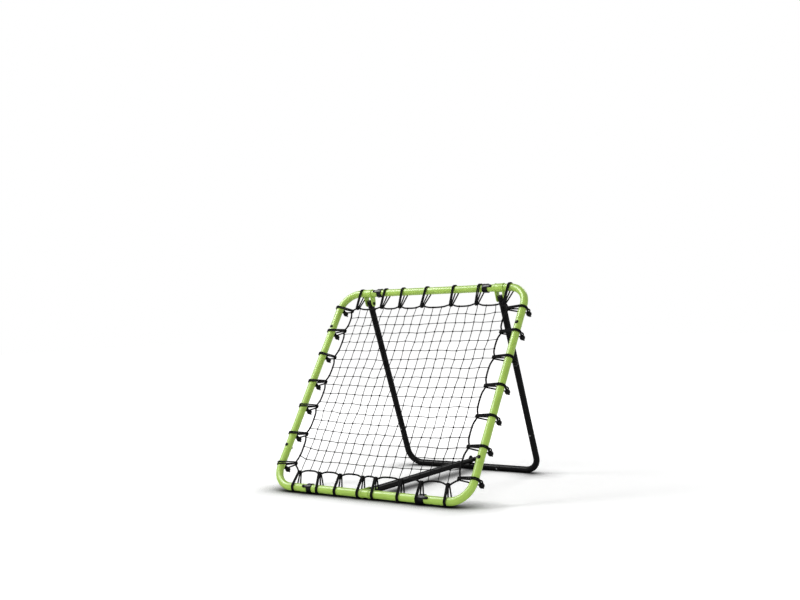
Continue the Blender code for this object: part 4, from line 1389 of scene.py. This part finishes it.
    def build_knots(self, places: np.ndarray) -> None:
        """A knot of two crossing lumps at each crossing, and a hitch on the rope at each line's end.

        Args:
            places: The knots' places.
        """
        solid = Solid()
        random = np.random.default_rng(self.knot_seed)
        lump = self.twine * Vector((1.45, 1.15, 1.0))
        for place in places[1:-1, 1:-1].reshape(-1, 3):
            turn = Matrix.Rotation(QUARTER / 2 + random.normal(0.0, 0.3), 4, "Y")
            spot = at(self.layout.plane, place, turn)
            solid.bead(lump, spot)
            solid.bead(lump * 0.92, spot @ ABOUT_X)
        hitch = Vector((self.twine * 1.2, self.layout.rope * 0.66, self.layout.rope * 0.66))
        for turn, ends in ((Matrix.Identity(4), (places[0], places[-1])), (ABOUT_X, (places[:, 0], places[:, -1]))):
            for place in np.concatenate([end[1:-1] for end in ends]):
                solid.bead(hitch, at(self.layout.plane, place, turn), 8, 4)
        solid.dress("net_knots", TWINE, Body.FRAME, (), 180.0)

    def build(self) -> None:
        """Builds the net and its rope."""
        rope = self.rope_route()
        places = self.knots(rope)
        self.build_rope(rope)
        self.build_twine(places)
        self.build_knots(places)


@dataclass
class RearStand:
    """The two legs, the bent lower corners, and the crossbar with the arm's rear fork."""

    layout: Layout
    wall: float = 0.0015
    bend: float = 0.065
    bend_steps: int = 18
    joint_up: float = 0.161
    joint_in: float = 0.193
    cap: float = 0.0304
    cap_length: float = 0.045
    cap_edge: float = 0.0035
    rear_nose: float = 0.017
    cheek_rim: float = 0.0009
    grip: float = 0.0006
    bead: float = 0.0015
    screw: float = 0.0068
    facets: int = 44
    lip: float = 0.0006

    @property
    def radius(self) -> float:
        """Radius of the stand's tube."""
        return self.layout.stand_tube / 2

    @property
    def low(self) -> Matrix:
        """From the crossbar's axes to the row's."""
        return at(self.layout.stand, (0, 0, -self.layout.stand_leg))

    def build_legs(self) -> None:
        """The straight legs, and the plastic caps on their upper ends."""
        lay = self.layout
        joint = lay.stand_leg - self.joint_up - 2 * FIT
        top = self.cap_length / 3
        low, bore, wide = top - self.cap_length, self.radius + 0.00005, self.cap / 2
        tube = rounded(self.radius, -joint, top - 0.004, self.lip, self.radius - self.wall)
        skirt = [(bore, top - 0.003), (bore, low), (wide - 0.0004, low), (wide, low + 0.0006)]
        crown = arc((wide - self.cap_edge, top - self.cap_edge), self.cap_edge, 0.0, QUARTER, 4)
        for side, way in SIDES:
            place = at(lay.stand, (way * lay.hinge_x, 0, 0))
            solid = Solid()
            solid.lathe(tube, place, self.facets, ring=True)
            solid.dress(f"{side}_leg_tube", STAND_BLACK, Body.STAND, [f"{side}_stand_leg"])
            solid = Solid()
            solid.lathe(skirt + crown + [(0.0, top)], place, self.facets)
            solid.dress(f"{side}_leg_cap", PLASTIC, Body.STAND)

    def build_corners(self) -> None:
        """The bent corner tubes with their spigots."""
        lay = self.layout
        tube = BentTube(self.radius, self.wall, self.bend, lay.spigot, self.lip, self.bend_steps)
        for side, way in SIDES:
            ways = Vector((-way, 0, 0)), Vector((0, 0, 1))
            line, radii = tube.route(Vector((way * lay.hinge_x, 0, 0)), ways, (self.joint_in, self.joint_up))
            solid = Solid()
            solid.bar(line, radii, self.low, self.facets)
            name = f"stand_{side}_corner"
            solid.dress(name, STAND_BLACK, Body.STAND, [f"{name}_tube"])

    def build_crossbar(self) -> None:
        """The crossbar, the fork that stands on it, and the fork's bolt heads."""
        lay = self.layout
        half = lay.hinge_x - self.joint_in - 2 * FIT
        solid = Solid()
        solid.lathe(rounded(self.radius, -half, half, self.lip, self.radius - self.wall),
                    self.low @ ABOUT_X, self.facets, ring=True)
        solid.dress("stand_crossbar_tube", STAND_BLACK, Body.STAND, ["stand_crossbar"])

        rise = Matrix.Rotation(-lay.stand_lean, 3, "X") @ Vector((0.0, 0.0, lay.arm_rear_rise))
        outline = strap(Vector((0, 0)), self.radius + self.grip, rise.yz, self.rear_nose)
        fork, bolts, head = Solid(), Solid(), lay.bolt * 0.9
        for side, turn, nut in ((-1, ABOUT_LEFT, 6), (1, ABOUT_X, 32)):
            middle = lay.arm_x + side * (lay.arm_gap + lay.cheek) / 2
            fork.plate(outline, lay.cheek, at(self.low, (middle, 0, 0), ON_EDGE), self.cheek_rim)
            face = lay.arm_x + side * (lay.arm_gap / 2 + lay.cheek)
            fork.weld(self.radius, self.bead, at(self.low, (face, 0, 0), ABOUT_X), self.facets)
            place = at(self.low, (face + side * 0.0001, rise.y, rise.z), turn)
            bolts.lathe(rounded(head * 1.12, -0.0002, 0.0012, 0.0003), place, 32)
            bolts.lathe(rounded(head, 0.0010, 0.0042, 0.0010), place, nut)
        fork.dress("arm_rear_fork", STAND_BLACK, Body.STAND, ["stand_crossbar"])
        bolts.dress("arm_rear_bolt", STEEL, Body.STAND)

    def build_screws(self) -> None:
        """The pan-head screws that hold the stand's four joints."""
        lay = self.layout
        past, head = lay.spigot * 0.4, self.screw / 2
        up, inner = self.joint_up + past, lay.hinge_x - self.joint_in - past
        pan = [(0.0, -0.002), (head, -0.002), (head, 0.0004), (head - 0.0004, 0.0013), (head - 0.0016, 0.0018),
               (0.0, 0.0019)]
        screws = Solid()
        for _, way in SIDES:
            for spot in ((way * lay.hinge_x, -self.radius, up), (way * inner, -self.radius, 0)):
                screws.lathe(pan, at(self.low, spot, ABOUT_FRONT), 20)
        # Their light grey finish is a painted highlight.
        screws.dress("stand_joint_screws", HIGHLIGHT_GREY_SCREW, Body.STAND)

    def build(self) -> None:
        """Builds all of it."""
        self.build_legs()
        self.build_corners()
        self.build_crossbar()
        self.build_screws()


@dataclass
class TelescopicArm:
    """The outer tube with its row of holes, the inner tube, and the spring button that locks them."""

    layout: Layout
    tube: float = 0.028
    wall: float = 0.0015
    outer_length: float = 0.655
    end: float = 0.014
    nose: float = 0.005
    plug: float = 0.030
    mouth_lip: float = 0.0006
    bush_width: float = 0.0052
    bush_depth: float = 0.018
    bush_proud: float = 0.0008
    inner_tube: float = 0.0205
    inner_wall: float = 0.0012
    inner_start: float = 0.080
    inner_nose: float = 0.004
    inner_plug: float = 0.042
    guide_length: float = 0.0095
    button_from_start: float = 0.030
    button: float = 0.006
    button_sunk: float = 0.0010
    button_collar: float = 0.0015
    button_depth: float = 0.009
    holes: int = 6
    facets: int = 44

    @property
    def hole_pitch(self) -> float:
        """Distance between the holes, from the slide's whole travel."""
        ratio = next(c for c in frame["record"]["behaviour"]["couplings"] if c["joint"] == "arm_slide")["ratio"]
        return ratio * math.radians(joint_of("stand_hinge")["range_deg"][1]) / (self.holes - 1)

    def build_outer(self) -> None:
        """The outer tube, drilled, and the bush in its mouth."""
        outer, bore = self.tube / 2, self.tube / 2 - self.wall
        arm, mouth = self.layout.arm, self.outer_length
        round_from = self.end - self.nose
        nose = arc((outer - self.nose, round_from), self.nose, math.radians(80.0), 0.0, 6)
        side = [(outer, round_from - HOLD), (outer, -mouth + self.mouth_lip), (outer - self.mouth_lip, -mouth)]
        inside = [(bore, -mouth), (bore, -self.plug), (0.0, -self.plug)]
        solid = Solid()
        solid.lathe([(0.0, self.end)] + nose + side + inside, arm @ ABOUT_FRONT, self.facets)
        piece = solid.dress("arm_outer_sleeve", ARM_BLACK, Body.ARM_OUTER, ["arm_outer_tube"])
        first = self.inner_start + self.button_from_start
        holes = [at(arm, (-outer, first + number * self.hole_pitch, 0), ABOUT_X) for number in range(self.holes)]
        drill(piece, holes, self.button / 2 + 2 * FIT, outer)

        slide, press = self.inner_tube / 2 + 0.0004, bore - FIT
        place = at(arm, (0, mouth - 0.0020, 0), ABOUT_BACK)
        bush = Solid()
        bush.lathe(rounded(outer + self.bush_proud, 0.0002, self.bush_width, 0.0012, slide), place, self.facets,
                   ring=True)
        bush.lathe([(slide, -self.bush_depth), (press, -self.bush_depth), (press, 0.0010), (slide, 0.0010)], place,
                   self.facets, ring=True)
        bush.dress("arm_mouth_bush", PLASTIC, Body.ARM_OUTER, ["arm_bush"])

    def build_inner(self) -> None:
        """The inner tube with its guide shoulder, the rear pin and the spring button."""
        lay = self.layout
        inner, core = self.inner_tube / 2, self.inner_tube / 2 - self.inner_wall
        guide = self.tube / 2 - self.wall - FIT
        length = lay.arm_length + self.end - self.inner_start
        round_from, plug = length - self.inner_nose, length - self.inner_plug
        shoulder = [(core, 0.0), (guide - 0.0005, 0.0), (guide, 0.0005), (guide, self.guide_length),
                    (inner, self.guide_length + 0.001)]
        nose = [(inner, round_from - HOLD), (inner, round_from), (inner - 0.0012, length - 0.001),
                (inner - self.inner_nose, length)]
        solid = Solid()
        solid.lathe(shoulder + nose + [(0.0, length), (0.0, plug), (core, plug)],
                    at(lay.arm, (0, self.inner_start, 0), ABOUT_BACK), self.facets, ring=True)
        piece = solid.dress("arm_inner_slider", ARM_BLACK, Body.ARM_INNER, ["arm_inner_tube"])
        spot = self.inner_start + self.button_from_start
        drill(piece, [at(lay.arm, (-inner, spot, 0), ABOUT_X)], self.button / 2 + FIT, inner)

        pin, gap = lay.bolt / 2, lay.arm_gap / 2 - 2 * FIT
        solid = Solid()
        place = at(lay.arm, (0, lay.arm_length, 0), ABOUT_X)
        solid.lathe(rounded(pin, -gap, gap, 0.0002), place, 28)
        for low, high in ((inner + FIT, gap), (-gap, -inner - FIT)):
            solid.lathe(rounded(pin * 1.85, low, high, 0.0005, pin), place, 32, ring=True)
        solid.dress("arm_rear_pivot", STEEL, Body.ARM_INNER, ["arm_rear_pin"])

        tip, stem = self.tube / 2 - self.wall - self.button_sunk, self.button / 2
        foot, rim = tip - self.button_depth, stem + 0.0008
        flange = [(0.0, foot), (rim, foot), (rim, foot + self.button_collar), (stem, foot + self.button_collar)]
        solid = Solid()
        solid.lathe(flange + arc((0.0, tip - stem * 0.6), stem, 0.0, QUARTER, 7, stem * 0.6),
                    at(lay.arm, (0, spot, 0), ABOUT_LEFT), 24)
        solid.dress("arm_spring_button", STEEL, Body.BUTTON, ["lock_button"])

    def build(self) -> None:
        """Builds all of it."""
        self.build_outer()
        self.build_inner()


@dataclass(frozen=True)
class Lamp:
    """A soft area lamp that looks at the middle of the rebounder.

    One with a length is a strip along X, level with its target. A glint is seen in glossy surfaces alone.
    """

    name: str
    place: tuple[float, float, float]
    size: float
    power: float
    length: float = 0.0
    glint: bool = False

    def build(self, target: Vector) -> None:
        """Adds the lamp.

        Args:
            target: What it looks at.
        """
        data = bpy.data.lights.new(self.name, "AREA")
        data.shape = "RECTANGLE"
        data.size = self.length or self.size
        data.size_y = self.size
        data.energy = self.power
        lamp = linked(self.name, data)
        lamp.location = self.place
        aim = Vector((self.place[0], target.y, target.z)) if self.length else target
        lamp.rotation_euler = (aim - lamp.location).to_track_quat("-Z", "Y").to_euler()
        lamp.visible_diffuse = not self.glint


@dataclass
class Studio:
    """White floor and background, soft lamps and the camera at the photograph's angle."""

    floor_size: float = 40.0
    floor_colour: Colour = (0.93, 0.93, 0.93)
    near_glow: float = 0.27
    near: float = 0.7
    far_glow: float = 0.68
    far: float = 3.0
    # Reach and depth of the painted contact shadow that ambient occlusion puts on the floor.
    shade_reach: float = 0.145
    shade_depth: float = 4.0
    sky: float = 0.42
    eye: tuple[float, float, float] = (2.4567, -3.59777, 0.73674)
    yaw: float = 0.61537
    pitch: float = -0.01273
    roll: float = -0.03219
    focal: float = 1005.72
    picture_width: float = 800.0
    sensor: float = 36.0
    aim: tuple[float, float, float] = (0.0, 0.0, 0.35)
    lamps: tuple[Lamp, ...] = (
        Lamp("key", (-2.6, -2.2, 3.1), 1.2, 84.0),
        Lamp("fill", (2.0, -3.4, 1.2), 2.0, 36.0),
        Lamp("back", (0.4, 3.2, 2.8), 1.3, 38.0),
        Lamp("gloss", (-1.85, -0.75, 2.85), 1.0, 190.0, length=2.6, glint=True),
    )

    def build_floor(self) -> None:
        """The pale floor, which glows a little towards the camera so that only the shadows show on it. Near the
        object, ambient occlusion darkens its colour and glow as the camera and reflections see them, a painted
        contact shadow.
        """
        mesh = bpy.data.meshes.new("floor")
        bm = bmesh.new()
        bmesh.ops.create_grid(bm, x_segments=1, y_segments=1, size=self.floor_size / 2)
        bm.to_mesh(mesh)
        bm.free()
        floor = linked("floor", mesh)
        graph = Graph(bpy.data.materials.new("studio floor"))
        reach = graph.node("ShaderNodeVectorMath", {0: graph.place()}, {"operation": "LENGTH"}, "Value")
        level = self.near_glow + reach.ramp(self.near, self.far) * (self.far_glow - self.near_glow)
        # Painted contact shadow: ambient occlusion darkens the floor's colour and glow near the object, for camera
        # and reflection rays.
        free = graph.node("ShaderNodeAmbientOcclusion", {"Distance": self.shade_reach}, {"samples": 16}, "AO")
        shade, seen = free ** self.shade_depth, graph.seen()
        painted_shadow_colour = graph.mix(seen * (1.0 - shade), self.floor_colour, (0.0, 0.0, 0.0))
        graph.surface(base_color=painted_shadow_colour, roughness=0.9, specular_ior_level=0.0)
        glow = graph.node("ShaderNodeEmission", {"Color": (1, 1, 1, 1), "Strength": seen * level * shade})
        both = graph.node("ShaderNodeAddShader", {0: Value(graph, graph.shader.outputs[0]), 1: glow})
        graph.feed(graph.tree.nodes["Material Output"].inputs["Surface"], both)
        mesh.materials.append(graph.owner)

    def build_sky(self) -> None:
        """A white world that lights the object at a plain level."""
        graph = Graph(bpy.data.worlds.new("studio"))
        bpy.context.scene.world = graph.owner
        graph.surface(color=(1, 1, 1, 1), strength=self.sky + graph.seen() * (1.0 - self.sky))

    def build_camera(self) -> None:
        """The camera, from its eye point and angles."""
        sin_yaw, cos_yaw = math.sin(self.yaw), math.cos(self.yaw)
        sin_pitch, cos_pitch = math.sin(self.pitch), math.cos(self.pitch)
        ahead = Vector((-sin_yaw * cos_pitch, cos_yaw * cos_pitch, -sin_pitch))
        right = Vector((cos_yaw, sin_yaw, 0.0))
        up = right.cross(ahead)
        right, up = (right * math.cos(self.roll) + up * math.sin(self.roll),
                     up * math.cos(self.roll) - right * math.sin(self.roll))
        data = bpy.data.cameras.new("camera")
        data.sensor_width = self.sensor
        data.lens = self.focal * self.sensor / self.picture_width
        camera = linked("camera", data)
        turn = Matrix((right, up, -ahead)).transposed().to_4x4()
        camera.matrix_world = Matrix.Translation(self.eye) @ turn
        bpy.context.scene.camera = camera

    def build(self) -> None:
        """Builds the studio round the object."""
        self.build_camera()
        self.build_floor()
        self.build_sky()
        for lamp in self.lamps:
            lamp.build(Vector(self.aim))
        bpy.context.scene.view_settings.view_transform = "Standard"


def main() -> None:
    """Builds the studio and every sub-assembly; each piece logs its face count as it is dressed."""
    logging.basicConfig(level=logging.INFO, format="%(message)s")
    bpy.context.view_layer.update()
    layout = Layout()
    Studio().build()
    for assembly in (MainFrame, FrameFittings, BungeeLoops, NetPanel, RearStand, TelescopicArm):
        assembly(layout).build()
    bpy.context.view_layer.update()


if __name__ == "__main__":
    main()
